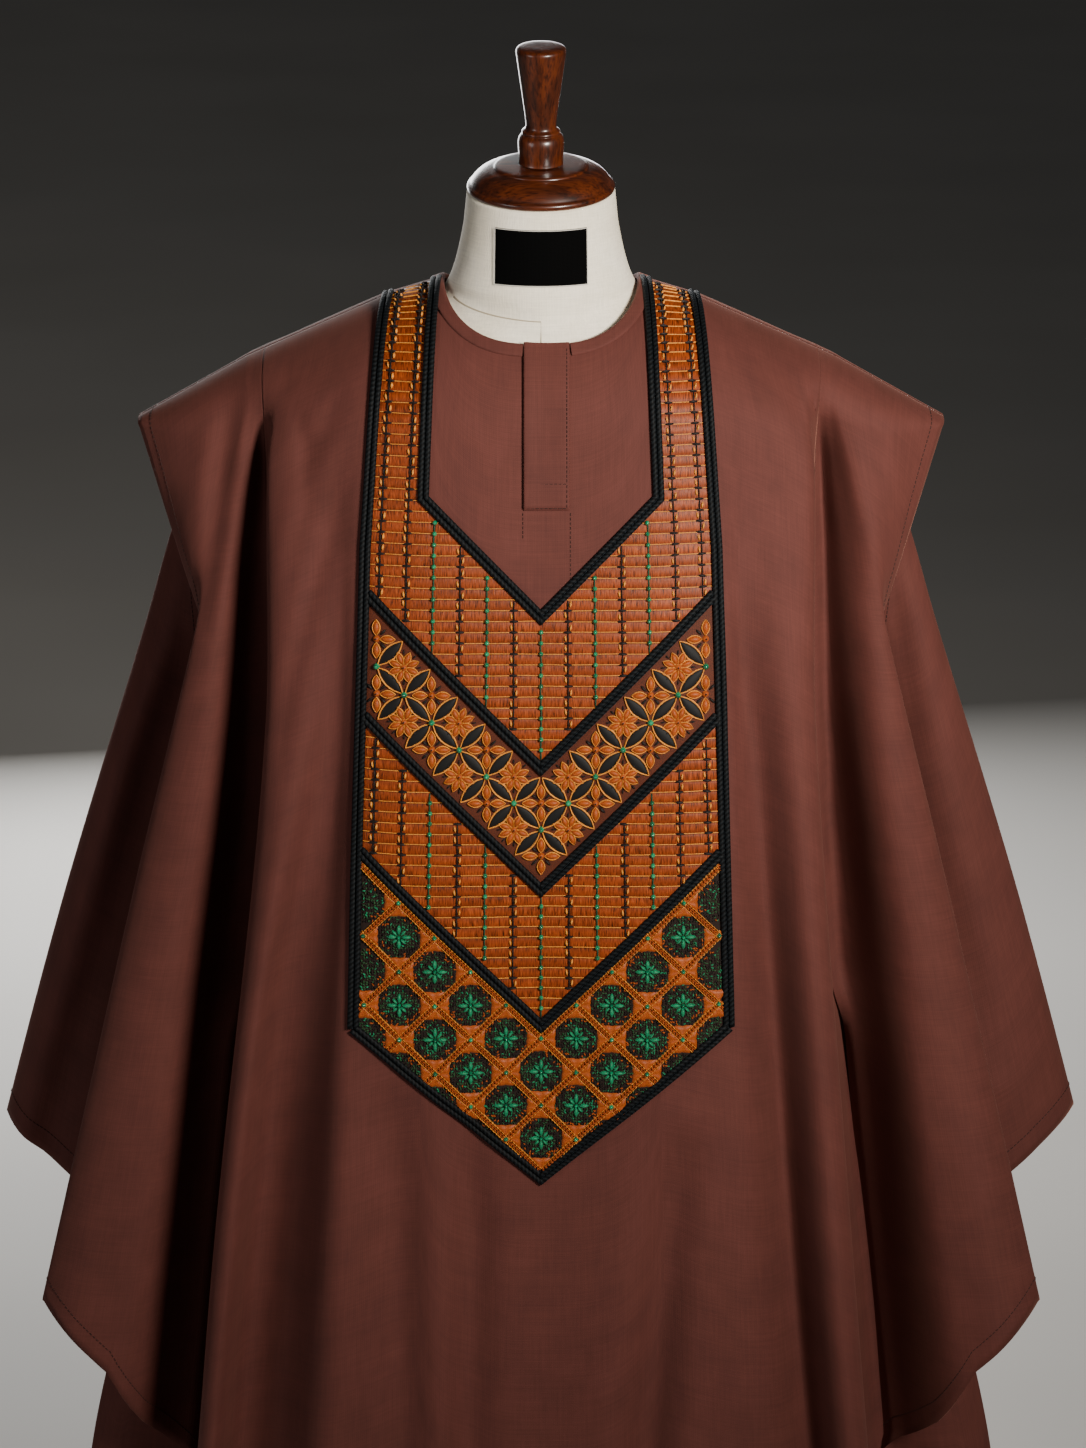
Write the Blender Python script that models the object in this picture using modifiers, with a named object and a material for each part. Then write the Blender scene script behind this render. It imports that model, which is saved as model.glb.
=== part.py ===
"""A grand boubou robe on a limbless dress form.

The robe is cut in front and back body panels and four sleeve layers. Every cloth piece is a wall
laid over fold lines: a fold line starts on the shoulder seam and runs down to the hem, and the
cloth swings smoothly from one fold line to the next. Metres, +Z up, the front faces -Y, and the
origin is the centre of the stand's underside.
"""

import math
from collections import namedtuple

import bmesh
import bpy
from mathutils import Matrix, Vector

# ---------------------------------------------------------------- driving dimensions, metres
CLOTH = 0.002              # wall of the robe's cloth
SEAM_GAP = 0.0003          # between pieces that are sewn or laid together
ARMHOLE_GAP = 0.0009       # between body and sleeve, whose thick walls meet in a valley
SEAM_Y = 0.010             # shoulder seam, just behind the neck's middle
SEAM_FLAT = 0.004          # level strip on each side of the shoulder seam
HEM_Z = 0.14               # lower edge of the robe above the floor
ARMHOLE_Z = 0.889          # lower end of the armhole
SLEEVE_CLEAR = 0.009       # a sleeve's loose inner edge, off the body panel

NECK_HALF = 0.083          # half the width of the neckline
NECK_FRONT = 0.0905        # neckline, shoulder seam to centre front
NECK_BACK = 0.068          # neckline, shoulder seam to centre back
NECK_ROUND = 2.9           # how square the neckline's curve is; 2 would be an ellipse
BAND_WIDE = 0.011          # neck band
BAND_END = 0.079           # its ends, short of the sharp turn at the shoulder seam
PLACKET_LEFT = -0.0145     # edges of the fly strip
PLACKET_RIGHT = 0.0238
PLACKET_FOOT_Z = 1.333

TRIM = 0.0012              # thickness of what is sewn on the front panel
TRIM_LIFT = 0.0005         # and its clearance from the panel
CORD_WIDE = 0.0095         # black cord, two strands side by side
BIB_TOP_HALF = 0.1335      # half width of the bib at the shoulder
BIB_TOP_Z = 1.4845
BIB_CHEST_HALF = 0.151
BIB_CHEST_Z = 1.300
BIB_LOW_HALF = 0.164
BIB_LOW_Z = 0.885          # outer lower corner of the bib
BIB_POINT_Z = 0.750        # centre point of the bib
INNER_TOP_HALF = 0.0835    # inner edge of the straps at the shoulder
INNER_LOW_HALF = 0.0930
INNER_LOW_Z = 1.345        # where the straps' inner edges turn into the V
INNER_POINT_Z = 1.252      # lower point of the V opening
CHEVRON_RISE = 1.0         # rise of a dividing cord for each metre sideways
CHEVRON_Z = (1.125, 1.020, 0.900)    # dividing cords at the centre line

NECK_TOP_Z = 1.5785        # top of the form's neck
NECK_LEAN = math.radians(7.0)        # the neck's top plane leans forward
CAP_R = 0.0625             # turned neck cap
CAP_TALL = 0.0232
FINIAL_R = 0.0212          # top of the finial
LABEL_WIDE = 0.0815
LABEL_TALL = 0.0485
LABEL_Z = 1.5345           # middle of the label
POLE_R = 0.0140
BASE_R = 0.175
BASE_TALL = 0.028

# Height of the shoulder seam at a distance from the centre line.
SHOULDER_LINE = ((0.0, 1.5010), (0.083, 1.5010), (0.135, 1.4850), (0.250, 1.4340), (0.344, 1.3810))

# ---------------------------------------------------------------- fold lines
# name, shoulder: distance along the shoulder seam where the line starts; turn: drop over which the
# cloth turns down from the seam; steps: columns of cloth to the next line; path: (z, x, y) points.
Fold = namedtuple("Fold", "name shoulder turn steps path")

FRONT_FOLDS = (
    Fold("centre", 0.000, 0.110, 5,
         ((1.40, 0.000, -0.118), (1.15, 0.000, -0.158), (0.80, 0.000, -0.176), (0.14, 0.000, -0.196))),
    Fold("strap inner", 0.083, 0.110, 3,
         ((1.40, 0.091, -0.116), (1.15, 0.097, -0.158), (0.80, 0.103, -0.182), (0.14, 0.118, -0.210))),
    Fold("bib edge", 0.135, 0.100, 1,
         ((1.36, 0.149, -0.112), (1.15, 0.157, -0.150), (0.80, 0.169, -0.171), (0.14, 0.190, -0.196))),
    Fold("soft valley", 0.155, 0.090, 2,
         ((1.36, 0.168, -0.105), (1.15, 0.172, -0.140), (0.75, 0.207, -0.152), (0.14, 0.268, -0.166))),
    Fold("roll face", 0.185, 0.075, 2,
         ((1.38, 0.203, -0.090), (1.15, 0.211, -0.143), (0.75, 0.243, -0.167), (0.14, 0.296, -0.190))),
    Fold("roll edge", 0.212, 0.060, 1,
         ((1.42, 0.2200, -0.069), (1.395, 0.2235, -0.073), (1.355, 0.2290, -0.084), (1.15, 0.2315, -0.124),
          (0.75, 0.2635, -0.146), (0.14, 0.318, -0.168))),
    Fold("roll back", 0.225, 0.052, 1,
         ((1.42, 0.2275, -0.0645), (1.395, 0.2285, -0.064), (1.355, 0.2270, -0.065), (1.15, 0.226, -0.082),
          (0.75, 0.256, -0.085), (0.14, 0.308, -0.095))),
    Fold("deep valley", 0.236, 0.048, 2,
         ((1.42, 0.2345, -0.0605), (1.395, 0.2340, -0.056), (1.355, 0.2330, -0.044), (1.15, 0.231, -0.042),
          (0.80, 0.262, -0.030), (0.14, 0.330, -0.036))),
    Fold("side flank", 0.244, 0.046, 1,
         ((1.42, 0.2405, -0.0575), (1.395, 0.2415, -0.055), (1.355, 0.2425, -0.048), (1.15, 0.250, -0.056),
          (0.85, 0.275, -0.020), (0.80, 0.285, -0.018), (0.45, 0.372, -0.020), (0.14, 0.405, -0.024))),
    Fold("side turn", 0.268, 0.045, 1,
         ((0.85, 0.290, 0.004), (0.80, 0.302, 0.003), (0.45, 0.402, 0.001), (0.14, 0.432, 0.000))),
    Fold("side seam", 0.270, 0.045, 0,
         ((0.85, 0.290, 0.0098), (0.80, 0.302, 0.0098), (0.45, 0.402, 0.0098), (0.14, 0.432, 0.0098))),
)

BACK_FOLDS = (
    Fold("centre", 0.000, 0.120, 5,
         ((1.40, 0.000, 0.112), (1.15, 0.000, 0.122), (0.80, 0.000, 0.140), (0.14, 0.000, 0.172))),
    Fold("inner ridge", 0.083, 0.120, 3,
         ((1.40, 0.088, 0.114), (1.15, 0.090, 0.134), (0.80, 0.088, 0.162), (0.14, 0.090, 0.206))),
    Fold("shallow valley", 0.140, 0.100, 2,
         ((1.38, 0.142, 0.108), (1.15, 0.143, 0.118), (0.75, 0.160, 0.136), (0.14, 0.186, 0.160))),
    Fold("roll face", 0.185, 0.080, 2,
         ((1.38, 0.196, 0.102), (1.15, 0.204, 0.128), (0.75, 0.232, 0.162), (0.14, 0.286, 0.198))),
    Fold("roll edge", 0.214, 0.062, 1,
         ((1.41, 0.222, 0.082), (1.36, 0.2285, 0.090), (1.15, 0.233, 0.108), (0.75, 0.262, 0.138),
          (0.14, 0.318, 0.168))),
    Fold("roll back", 0.226, 0.052, 1,
         ((1.41, 0.2290, 0.078), (1.36, 0.2295, 0.079), (1.15, 0.230, 0.080), (0.75, 0.260, 0.088),
          (0.14, 0.312, 0.096))),
    Fold("deep valley", 0.236, 0.048, 2,
         ((1.41, 0.2350, 0.074), (1.36, 0.2345, 0.068), (1.15, 0.233, 0.060), (0.80, 0.262, 0.056),
          (0.14, 0.330, 0.062))),
    Fold("side flank", 0.244, 0.046, 1,
         ((1.41, 0.2410, 0.072), (1.36, 0.2440, 0.074), (1.15, 0.256, 0.076), (0.85, 0.275, 0.046),
          (0.80, 0.285, 0.042), (0.45, 0.372, 0.042), (0.14, 0.405, 0.046))),
    Fold("side turn", 0.268, 0.045, 1,
         ((0.85, 0.290, 0.016), (0.80, 0.302, 0.017), (0.45, 0.402, 0.019), (0.14, 0.432, 0.020))),
    Fold("side seam", 0.270, 0.045, 0,
         ((0.85, 0.290, 0.0102), (0.80, 0.302, 0.0102), (0.45, 0.402, 0.0102), (0.14, 0.432, 0.0102))),
)

SLEEVE_FRONT_FOLDS = (
    Fold("armhole", 0.236, 0.048, 2,
         ((1.42, 0.2345, -0.0605), (1.395, 0.2340, -0.056), (1.355, 0.2330, -0.044), (1.15, 0.231, -0.042),
          (0.80, 0.262, -0.030), (0.14, 0.330, -0.036))),
    Fold("flute face", 0.244, 0.046, 2,
         ((1.42, 0.2405, -0.0575), (1.395, 0.2430, -0.055), (1.355, 0.2475, -0.056), (1.30, 0.2550, -0.064),
          (1.15, 0.273, -0.076), (0.90, 0.322, -0.086), (0.50, 0.390, -0.108))),
    Fold("flute crest", 0.256, 0.042, 2,
         ((1.42, 0.2480, -0.0545), (1.395, 0.2520, -0.056), (1.355, 0.2620, -0.063), (1.30, 0.2758, -0.0665),
          (1.2165, 0.292, -0.064), (0.967, 0.3535, -0.062), (0.785, 0.396, -0.066), (0.50, 0.462, -0.082))),
    Fold("return", 0.300, 0.030, 2,
         ((1.37, 0.2960, -0.044), (1.285, 0.2985, -0.047), (1.2165, 0.288, -0.044), (0.967, 0.337, -0.026),
          (0.60, 0.420, -0.046))),
    Fold("free edge", 0.344, 0.007, 0,
         ((1.37, 0.3405, -0.009), (1.285, 0.3146, -0.022), (1.234, 0.288, -0.036), (1.13, 0.283, -0.018),
          (0.90, 0.318, -0.006), (0.60, 0.378, -0.034))),
)

SLEEVE_BACK_FOLDS = (
    Fold("armhole", 0.236, 0.048, 2,
         ((1.41, 0.2350, 0.074), (1.36, 0.2345, 0.068), (1.15, 0.233, 0.060), (0.80, 0.262, 0.056),
          (0.14, 0.330, 0.062))),
    Fold("flute face", 0.244, 0.046, 2,
         ((1.41, 0.2410, 0.072), (1.36, 0.2460, 0.076), (1.15, 0.300, 0.100), (0.90, 0.362, 0.128),
          (0.60, 0.420, 0.156))),
    Fold("flute crest", 0.262, 0.042, 2,
         ((1.40, 0.2640, 0.056), (1.36, 0.2850, 0.062), (1.285, 0.3146, 0.062), (1.185, 0.344, 0.070),
          (0.9155, 0.428, 0.096), (0.60, 0.514, 0.122))),
    Fold("return", 0.305, 0.030, 2,
         ((1.37, 0.3060, 0.044), (1.285, 0.311, 0.046), (1.185, 0.331, 0.042), (0.9155, 0.398, 0.052),
          (0.60, 0.470, 0.066))),
    Fold("free edge", 0.344, 0.007, 0,
         ((1.37, 0.3400, 0.029), (1.285, 0.3120, 0.036), (1.234, 0.2940, 0.034), (1.13, 0.290, 0.028),
          (0.9155, 0.332, 0.034), (0.60, 0.385, 0.048))),
)

# The left side hangs a little wider: how far each line moves outwards, hem to shoulder.
LEFT_SHIFT = {"roll face": 0.012, "roll edge": 0.014, "roll back": 0.014, "soft valley": -0.006}
LEFT_SHIFT_TOP_Z = 1.20

# Lower edge of each sleeve line.
SLEEVE_FRONT_HEM = {"armhole": 0.432, "flute face": 0.520, "flute crest": 0.606, "return": 0.632,
                    "free edge": 0.655}
SLEEVE_BACK_HEM = {"armhole": 0.640, "flute face": 0.690, "flute crest": 0.716, "return": 0.678,
                   "free edge": 0.630}

FLANK_LINES = 3            # last lines of a body panel, found only below the armhole
TURN_ROWS = 3              # rows of cloth round the turn, after the level strip
BODY_ROWS = 15             # rows from the turn to the hem
SLEEVE_ROWS = 10

# Form sections: height, half width, depth to the front and to the back of the section's middle,
# roundness power, and how far that middle stands behind the pole.
FORM_SECTIONS = (
    (0.7950, 0.166, 0.096, 0.096, 2.3, 0.000),
    (0.8100, 0.182, 0.110, 0.112, 2.3, 0.000),
    (0.8700, 0.186, 0.112, 0.118, 2.3, 0.000),
    (0.9600, 0.174, 0.104, 0.100, 2.3, 0.000),
    (1.0700, 0.162, 0.100, 0.084, 2.3, 0.000),
    (1.1800, 0.182, 0.112, 0.096, 2.3, 0.000),
    (1.2700, 0.208, 0.118, 0.102, 2.3, 0.000),
    (1.3400, 0.228, 0.115, 0.098, 2.3, 0.002),
    (1.3850, 0.235, 0.110, 0.091, 2.2, 0.005),
    (1.4150, 0.230, 0.103, 0.083, 2.1, 0.008),
    (1.4400, 0.216, 0.096, 0.074, 2.0, 0.010),
    (1.4550, 0.189, 0.090, 0.067, 1.9, 0.010),
    (1.4650, 0.168, 0.086, 0.063, 1.8, 0.010),
    (1.4750, 0.136, 0.0850, 0.0600, 1.56, 0.010),
    (1.4835, 0.109, 0.0838, 0.0590, 1.58, 0.010),
    (1.4900, 0.0920, 0.0828, 0.0582, 1.68, 0.010),
    (1.4960, 0.0818, 0.0812, 0.0590, 1.90, 0.009),
    (1.5015, 0.0790, 0.0768, 0.0620, 2.00, 0.005),
    (1.5065, 0.0767, 0.0732, 0.0650, 2.00, 0.002),
    (1.5180, 0.0728, 0.0695, 0.0665, 2.00, 0.000),
    (1.5330, 0.0690, 0.0672, 0.0655, 2.00, 0.000),
    (1.5520, 0.0652, 0.0645, 0.0640, 2.00, 0.000),
)
FORM_SIDES = 40

COLLECTION = "grand_boubou_on_dress_form"


# ---------------------------------------------------------------- scene and materials
def clear_scene():
    for thing in list(bpy.data.objects):
        bpy.data.objects.remove(thing, do_unlink=True)


def srgb(code):
    """Linear colour of an sRGB hex code."""
    parts = [int(code[i:i + 2], 16) / 255 for i in (1, 3, 5)]
    return [p / 12.92 if p <= 0.04045 else ((p + 0.055) / 1.055) ** 2.4 for p in parts] + [1.0]


def material(name, code, roughness, metallic=0.0):
    made = bpy.data.materials.new(name)
    made.use_nodes = True
    shader = made.node_tree.nodes["Principled BSDF"]
    shader.inputs["Base Color"].default_value = srgb(code)
    shader.inputs["Roughness"].default_value = roughness
    shader.inputs["Metallic"].default_value = metallic
    return made


def add_object(name, mesh, collection, finish, smooth=True):
    thing = bpy.data.objects.new(name, mesh)
    collection.objects.link(thing)
    mesh.materials.clear()
    mesh.materials.append(finish)
    if smooth:
        mesh.shade_smooth()
    return thing


# ---------------------------------------------------------------- the cloth's surface
def ease(t):
    t = min(max(t, 0.0), 1.0)
    return t * t * (3 - 2 * t)


def blend_curve(p0, p1, m0, m1, t):
    """Cubic between p0 and p1 that leaves with m0 and arrives with m1."""
    t2, t3 = t * t, t * t * t
    return p0 * (2 * t3 - 3 * t2 + 1) + m0 * (t3 - 2 * t2 + t) + p1 * (3 * t2 - 2 * t3) + m1 * (t3 - t2)


def along(stations, where):
    """Smooth value at `where` through stations of (place, Vector), places rising."""
    last = len(stations) - 1
    slopes = []
    for i in range(last + 1):
        a, b = max(i - 1, 0), min(i + 1, last)
        slopes.append((stations[b][1] - stations[a][1]) / (stations[b][0] - stations[a][0]))
    if where <= stations[0][0]:
        return stations[0][1] + slopes[0] * (where - stations[0][0])
    if where >= stations[last][0]:
        return stations[last][1] + slopes[last] * (where - stations[last][0])
    i = max(k for k in range(last) if stations[k][0] <= where)
    span = stations[i + 1][0] - stations[i][0]
    t = (where - stations[i][0]) / span
    return blend_curve(stations[i][1], stations[i + 1][1], slopes[i] * span, slopes[i + 1] * span, t)


def shoulder_height(x):
    """Height of the shoulder seam, the same on both sides."""
    x = abs(x)
    for (x0, z0), (x1, z1) in zip(SHOULDER_LINE, SHOULDER_LINE[1:]):
        if x <= x1:
            return z0 + (z1 - z0) * (x - x0) / (x1 - x0)
    return SHOULDER_LINE[-1][1]


def fold_path(fold, side, z):
    """Plan position of a fold line at height z, on the right (1) or the left (-1)."""
    stations = [(row[0], Vector(row[1:])) for row in reversed(fold.path)]
    place = along(stations, z)
    if side < 0:
        place.x += LEFT_SHIFT.get(fold.name, 0.0) * ease((LEFT_SHIFT_TOP_Z - z) / (LEFT_SHIFT_TOP_Z - 0.6))
    return Vector((place.x * side, place.y))


class Layer:
    """One hanging layer of cloth: its fold lines from left to right, and the point at any place."""

    def __init__(self, lines, facing):
        self.lines = lines            # (fold, side) from left to right
        self.facing = facing          # -1 hangs to the front of the shoulder seam, 1 to the back
        self.columns = []             # fold-line position of each column
        for i, ((fold, side), (after, _)) in enumerate(zip(lines, lines[1:])):
            inner = fold if side > 0 else after
            shares = [k / inner.steps for k in range(inner.steps)]
            if inner.name == "centre":        # closer columns where the neckline turns
                quarter = math.pi / 2
                shares = [math.sin(t * quarter) if side > 0 else 1 - math.cos(t * quarter) for t in shares]
            self.columns += [i + t for t in shares]
        self.columns.append(len(lines) - 1.0)

    def mix(self, s, value):
        """A number of the fold lines, eased between the two lines round position s."""
        i = min(int(s), len(self.lines) - 2)
        a, b = value(*self.lines[i]), value(*self.lines[i + 1])
        return a + (b - a) * (s - i)

    def shoulder_x(self, s):
        return self.mix(s, lambda fold, side: fold.shoulder * side)

    def turn(self, s):
        return self.mix(s, lambda fold, side: fold.turn)

    def plan(self, s, z):
        """Plan position of the cloth at position s and height z."""
        i = min(int(s), len(self.lines) - 2)
        near = {}
        for k in range(max(i - 1, 0), min(i + 3, len(self.lines))):
            near[k] = fold_path(*self.lines[k], z)
        chord = (near[i + 1] - near[i]).length

        def heading(k):
            way = near.get(k + 1, near[k]) - near.get(k - 1, near[k])
            return way.normalized() * chord if way.length > 0 else way
        return blend_curve(near[i], near[i + 1], heading(i), heading(i + 1), s - i)

    def point(self, s, z, flat=0.0):
        """Point of the cloth; `flat` is the way along the level strip at the seam, 0 past it."""
        x_top = self.shoulder_x(s)
        z_top = shoulder_height(x_top)
        if flat:
            return Vector((x_top, SEAM_Y + self.facing * flat, z_top))
        drop = max(z_top - z, 0.0)
        turn = self.turn(s)
        share = min(drop / turn, 1.0)
        plan = self.plan(s, z)
        reach = abs(plan.y - SEAM_Y) - SEAM_FLAT
        offset = SEAM_FLAT + reach * math.sqrt(1 - (1 - share) ** 2)
        return Vector((x_top + (plan.x - x_top) * ease(share), SEAM_Y + self.facing * offset, z))


def mirrored_lines(folds):
    """Fold lines of a whole panel, left side seam to right side seam."""
    left = [(fold, -1) for fold in reversed(folds[1:])]
    return left + [(fold, 1) for fold in folds]


def row_heights(layer, s, hem, start_share=0.0, first_step=0.0, rows=BODY_ROWS):
    """Heights down one column: round the turn, then evenly to the hem."""
    z_top = shoulder_height(layer.shoulder_x(s))
    turn = layer.turn(s)
    heights = []
    begin = math.acos(1 - start_share)
    if first_step:
        heights.append(z_top - turn * start_share)
        begin += first_step
    heights += [z_top - turn * (1 - math.cos(begin + (math.pi / 2 - begin) * k / TURN_ROWS))
                for k in range(0 if first_step else 1, TURN_ROWS + 1)]
    low = z_top - turn
    heights += [low + (hem - low) * k / rows for k in range(1, rows + 1)]
    return heights


def neckline_share(layer, s, depth):
    """Share of the turn that the neckline has gone down at this column."""
    x = layer.shoulder_x(s)
    offset = depth * max(1 - abs(x / NECK_HALF) ** NECK_ROUND, 0.0) ** (1 / NECK_ROUND)
    z_top = shoulder_height(x)
    share = 0.0
    for _ in range(12):                       # the panel's depth depends a little on the height
        reach = abs(layer.plan(s, z_top - layer.turn(s) * share).y - SEAM_Y) - SEAM_FLAT
        sine = min(max((offset - SEAM_FLAT) / reach, 0.0), 0.999)
        share = 1 - math.sqrt(1 - sine * sine)
    return share


def body_columns(layer, neck_depth):
    """Points of a body panel, one list for each column, neck or shoulder seam to hem."""
    grid = []
    for s in layer.columns:
        x = layer.shoulder_x(s)
        inside_neck = abs(x) < NECK_HALF - 1e-6
        if inside_neck:
            share = neckline_share(layer, s, neck_depth)
            step = BAND_WIDE / (layer.turn(s) * 1.05)
            heights = row_heights(layer, s, HEM_Z, share, step)
            column = [layer.point(s, z) for z in heights]
        else:
            column = [layer.point(s, 0, flat=SEAM_GAP / 2), layer.point(s, 0, flat=SEAM_FLAT)]
            column += [layer.point(s, z) for z in row_heights(layer, s, HEM_Z)]
        grid.append(column)
    return grid[::-layer.facing]              # the columns run left to right as seen from outside


def sleeve_columns(layer, hems, side):
    """Points of a sleeve layer, shoulder seam to its slanted lower edge."""
    grid = []
    for s in layer.columns:
        hem = layer.mix(s, lambda fold, _: hems[fold.name])
        column = [layer.point(s, 0, flat=SEAM_GAP / 2), layer.point(s, 0, flat=SEAM_FLAT)]
        column += [layer.point(s, z) for z in row_heights(layer, s, hem, rows=SLEEVE_ROWS)]
        grid.append(column)
    inner, second = (grid[0], grid[1]) if side > 0 else (grid[-1], grid[-2])
    for point in inner:
        point.x += side * ARMHOLE_GAP
    for point in inner + second:              # clear of the body panel below the armhole
        clear = SLEEVE_CLEAR * ease((ARMHOLE_Z + 0.01 - point.z) / 0.08)
        point.x += side * clear
        point.y += layer.facing * clear * 1.5
    return grid[::-layer.facing]


# ---------------------------------------------------------------- cloth meshes
def sheet_bmesh(grid):
    """Triangulated open sheet through a grid of points, its outside towards the viewer."""
    columns, rows = len(grid), len(grid[0])
    bm = bmesh.new()
    bmesh.ops.create_grid(bm, x_segments=columns - 1, y_segments=rows - 1, size=0.5)
    row_of = bm.verts.layers.int.new("row")
    column_of = bm.verts.layers.int.new("column")
    for vert in bm.verts:
        i = round((vert.co.x + 0.5) * (columns - 1))
        j = rows - 1 - round((vert.co.y + 0.5) * (rows - 1))
        vert[row_of] = j
        vert[column_of] = i
        vert.co = grid[i][j]
    bm.normal_update()
    return bm


def trim_above(bm, limit):
    """Cut away the side flanks above the armhole's lower end, where `limit` says so."""
    row_of = bm.verts.layers.int["row"]
    column_of = bm.verts.layers.int["column"]
    gone = [face for face in bm.faces
            if any(limit(vert[column_of]) for vert in face.verts)
            and min(vert[row_of] for vert in face.verts) < ARMHOLE_ROW]
    bmesh.ops.delete(bm, geom=gone, context="FACES")


def wall(name, bm, collection, finish, thickness, offset):
    bmesh.ops.triangulate(bm, faces=bm.faces[:], quad_method="SHORT_EDGE")
    mesh = bpy.data.meshes.new(name)
    bm.to_mesh(mesh)
    bm.free()
    thing = add_object(name, mesh, collection, finish)
    solid = thing.modifiers.new("wall", "SOLIDIFY")
    solid.thickness = thickness
    solid.offset = offset


# Row of a body panel that lies nearest the armhole's lower end.
VALLEY_TOP = shoulder_height(0.236) - 0.048
ARMHOLE_ROW = 1 + TURN_ROWS + round((VALLEY_TOP - ARMHOLE_Z) / (VALLEY_TOP - HEM_Z) * BODY_ROWS)


def body_panel(name, folds, neck_depth, facing, collection, finish):
    """Front or back panel; also returns its open sheet, for the pieces sewn on it."""
    grid = body_columns(Layer(mirrored_lines(folds), facing), neck_depth)
    flank = sum(fold.steps for fold in folds[-1 - FLANK_LINES:])
    last = len(grid) - 1
    bm = sheet_bmesh(grid)
    trim_above(bm, lambda column: column < flank or column > last - flank)
    sheet = bm.copy()
    wall(name, bm, collection, finish, CLOTH, -1)
    return sheet


def sleeve(name, folds, hems, side, facing, collection, finish):
    lines = [(fold, side) for fold in (folds if side > 0 else reversed(folds))]
    grid = sleeve_columns(Layer(lines, facing), hems, side)
    wall(name, sheet_bmesh(grid), collection, finish, CLOTH, -1)


# ---------------------------------------------------------------- pieces sewn on the panel
def lifted(source):
    """The panel's own facets, moved out by the trim's lift."""
    bm = source.copy()
    bmesh.ops.triangulate(bm, faces=bm.faces[:], quad_method="SHORT_EDGE")
    bm.normal_update()
    moved = [(vert, vert.co + vert.normal * TRIM_LIFT) for vert in bm.verts]
    for vert, place in moved:
        vert.co = place
    return bm


def inside(outline, x, z):
    """Is a front-view point inside an outline of (x, z) corners?"""
    crossings = 0
    for (x0, z0), (x1, z1) in zip(outline, outline[1:] + outline[:1]):
        if (z0 > z) != (z1 > z) and x < x0 + (z - z0) * (x1 - x0) / (z1 - z0):
            crossings += 1
    return crossings % 2 == 1


def spans(face, xs, zs, margin=0.001):
    """Does a face's front view reach the box of a line from xs to zs?"""
    return (min(v.co.x for v in face.verts) < max(xs) + margin
            and max(v.co.x for v in face.verts) > min(xs) - margin
            and min(v.co.z for v in face.verts) < max(zs) + margin
            and max(v.co.z for v in face.verts) > min(zs) - margin)


def applique(name, source, outline, collection, finish):
    """A thin piece of the given front-view outline that lies on the panel's facets."""
    bm = lifted(source)
    for (x0, z0), (x1, z1) in zip(outline, outline[1:] + outline[:1]):
        normal = Vector((z1 - z0, 0, x0 - x1)).normalized()
        near = [face for face in bm.faces if spans(face, (x0, x1), (z0, z1))]
        geom = near + list({e for f in near for e in f.edges}) + list({v for f in near for v in f.verts})
        bmesh.ops.bisect_plane(bm, geom=geom, plane_co=(x0, 0, z0), plane_no=normal, dist=1e-5)
    gone = [face for face in bm.faces
            if not inside(outline, face.calc_center_median().x, face.calc_center_median().z)]
    bmesh.ops.delete(bm, geom=gone, context="FACES")
    wall(name, bm, collection, finish, TRIM, 1)


def band_piece(name, source, left, right, collection, finish):
    """The neck band from x = left to x = right: the first row of facets inside the neckline."""
    bm = lifted(source)
    row_of = bm.verts.layers.int["row"]
    gone = [face for face in bm.faces
            if max(vert[row_of] for vert in face.verts) > 1 or abs(face.calc_center_median().x) > NECK_HALF]
    bmesh.ops.delete(bm, geom=gone, context="FACES")
    for x, way in ((left, -1), (right, 1)):
        bmesh.ops.bisect_plane(bm, geom=bm.verts[:] + bm.edges[:] + bm.faces[:], plane_co=(x, 0, 0),
                               plane_no=(way, 0, 0), clear_outer=True, dist=1e-5)
    wall(name, bm, collection, finish, TRIM * 0.7, 1)


# ---------------------------------------------------------------- the bib's front-view layout
def outer_half(z, inset=0.0):
    """Half width of the bib at height z."""
    if z > BIB_CHEST_Z:
        t = (z - BIB_CHEST_Z) / (BIB_TOP_Z - BIB_CHEST_Z)
        return BIB_CHEST_HALF + (BIB_TOP_HALF - BIB_CHEST_HALF) * t - inset
    t = (z - BIB_LOW_Z) / (BIB_CHEST_Z - BIB_LOW_Z)
    return BIB_LOW_HALF + (BIB_CHEST_HALF - BIB_LOW_HALF) * t - inset


def mirror_outline(right):
    """Close a right half outline, listed from the centre round to the centre."""
    return right + [(-x, z) for x, z in reversed(right) if x > 1e-9]


def chevron_end(z_centre, rise, inset):
    """Where a line that rises from the centre meets the bib's side."""
    x = BIB_CHEST_HALF - inset
    for _ in range(8):
        x = outer_half(z_centre + rise * x, inset)
    return (x, z_centre + rise * x)


def chevron_strip(z_centre, rise, tall, inset):
    """V-shaped strip, its upper line at z_centre on the centre line."""
    upper, lower = chevron_end(z_centre, rise, inset), chevron_end(z_centre - tall, rise, inset)
    middle = [(outer_half(BIB_CHEST_Z, inset), BIB_CHEST_Z)] if lower[1] < BIB_CHEST_Z < upper[1] else []
    return mirror_outline([(0.0, z_centre - tall), lower] + middle + [upper, (0.0, z_centre)])


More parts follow.
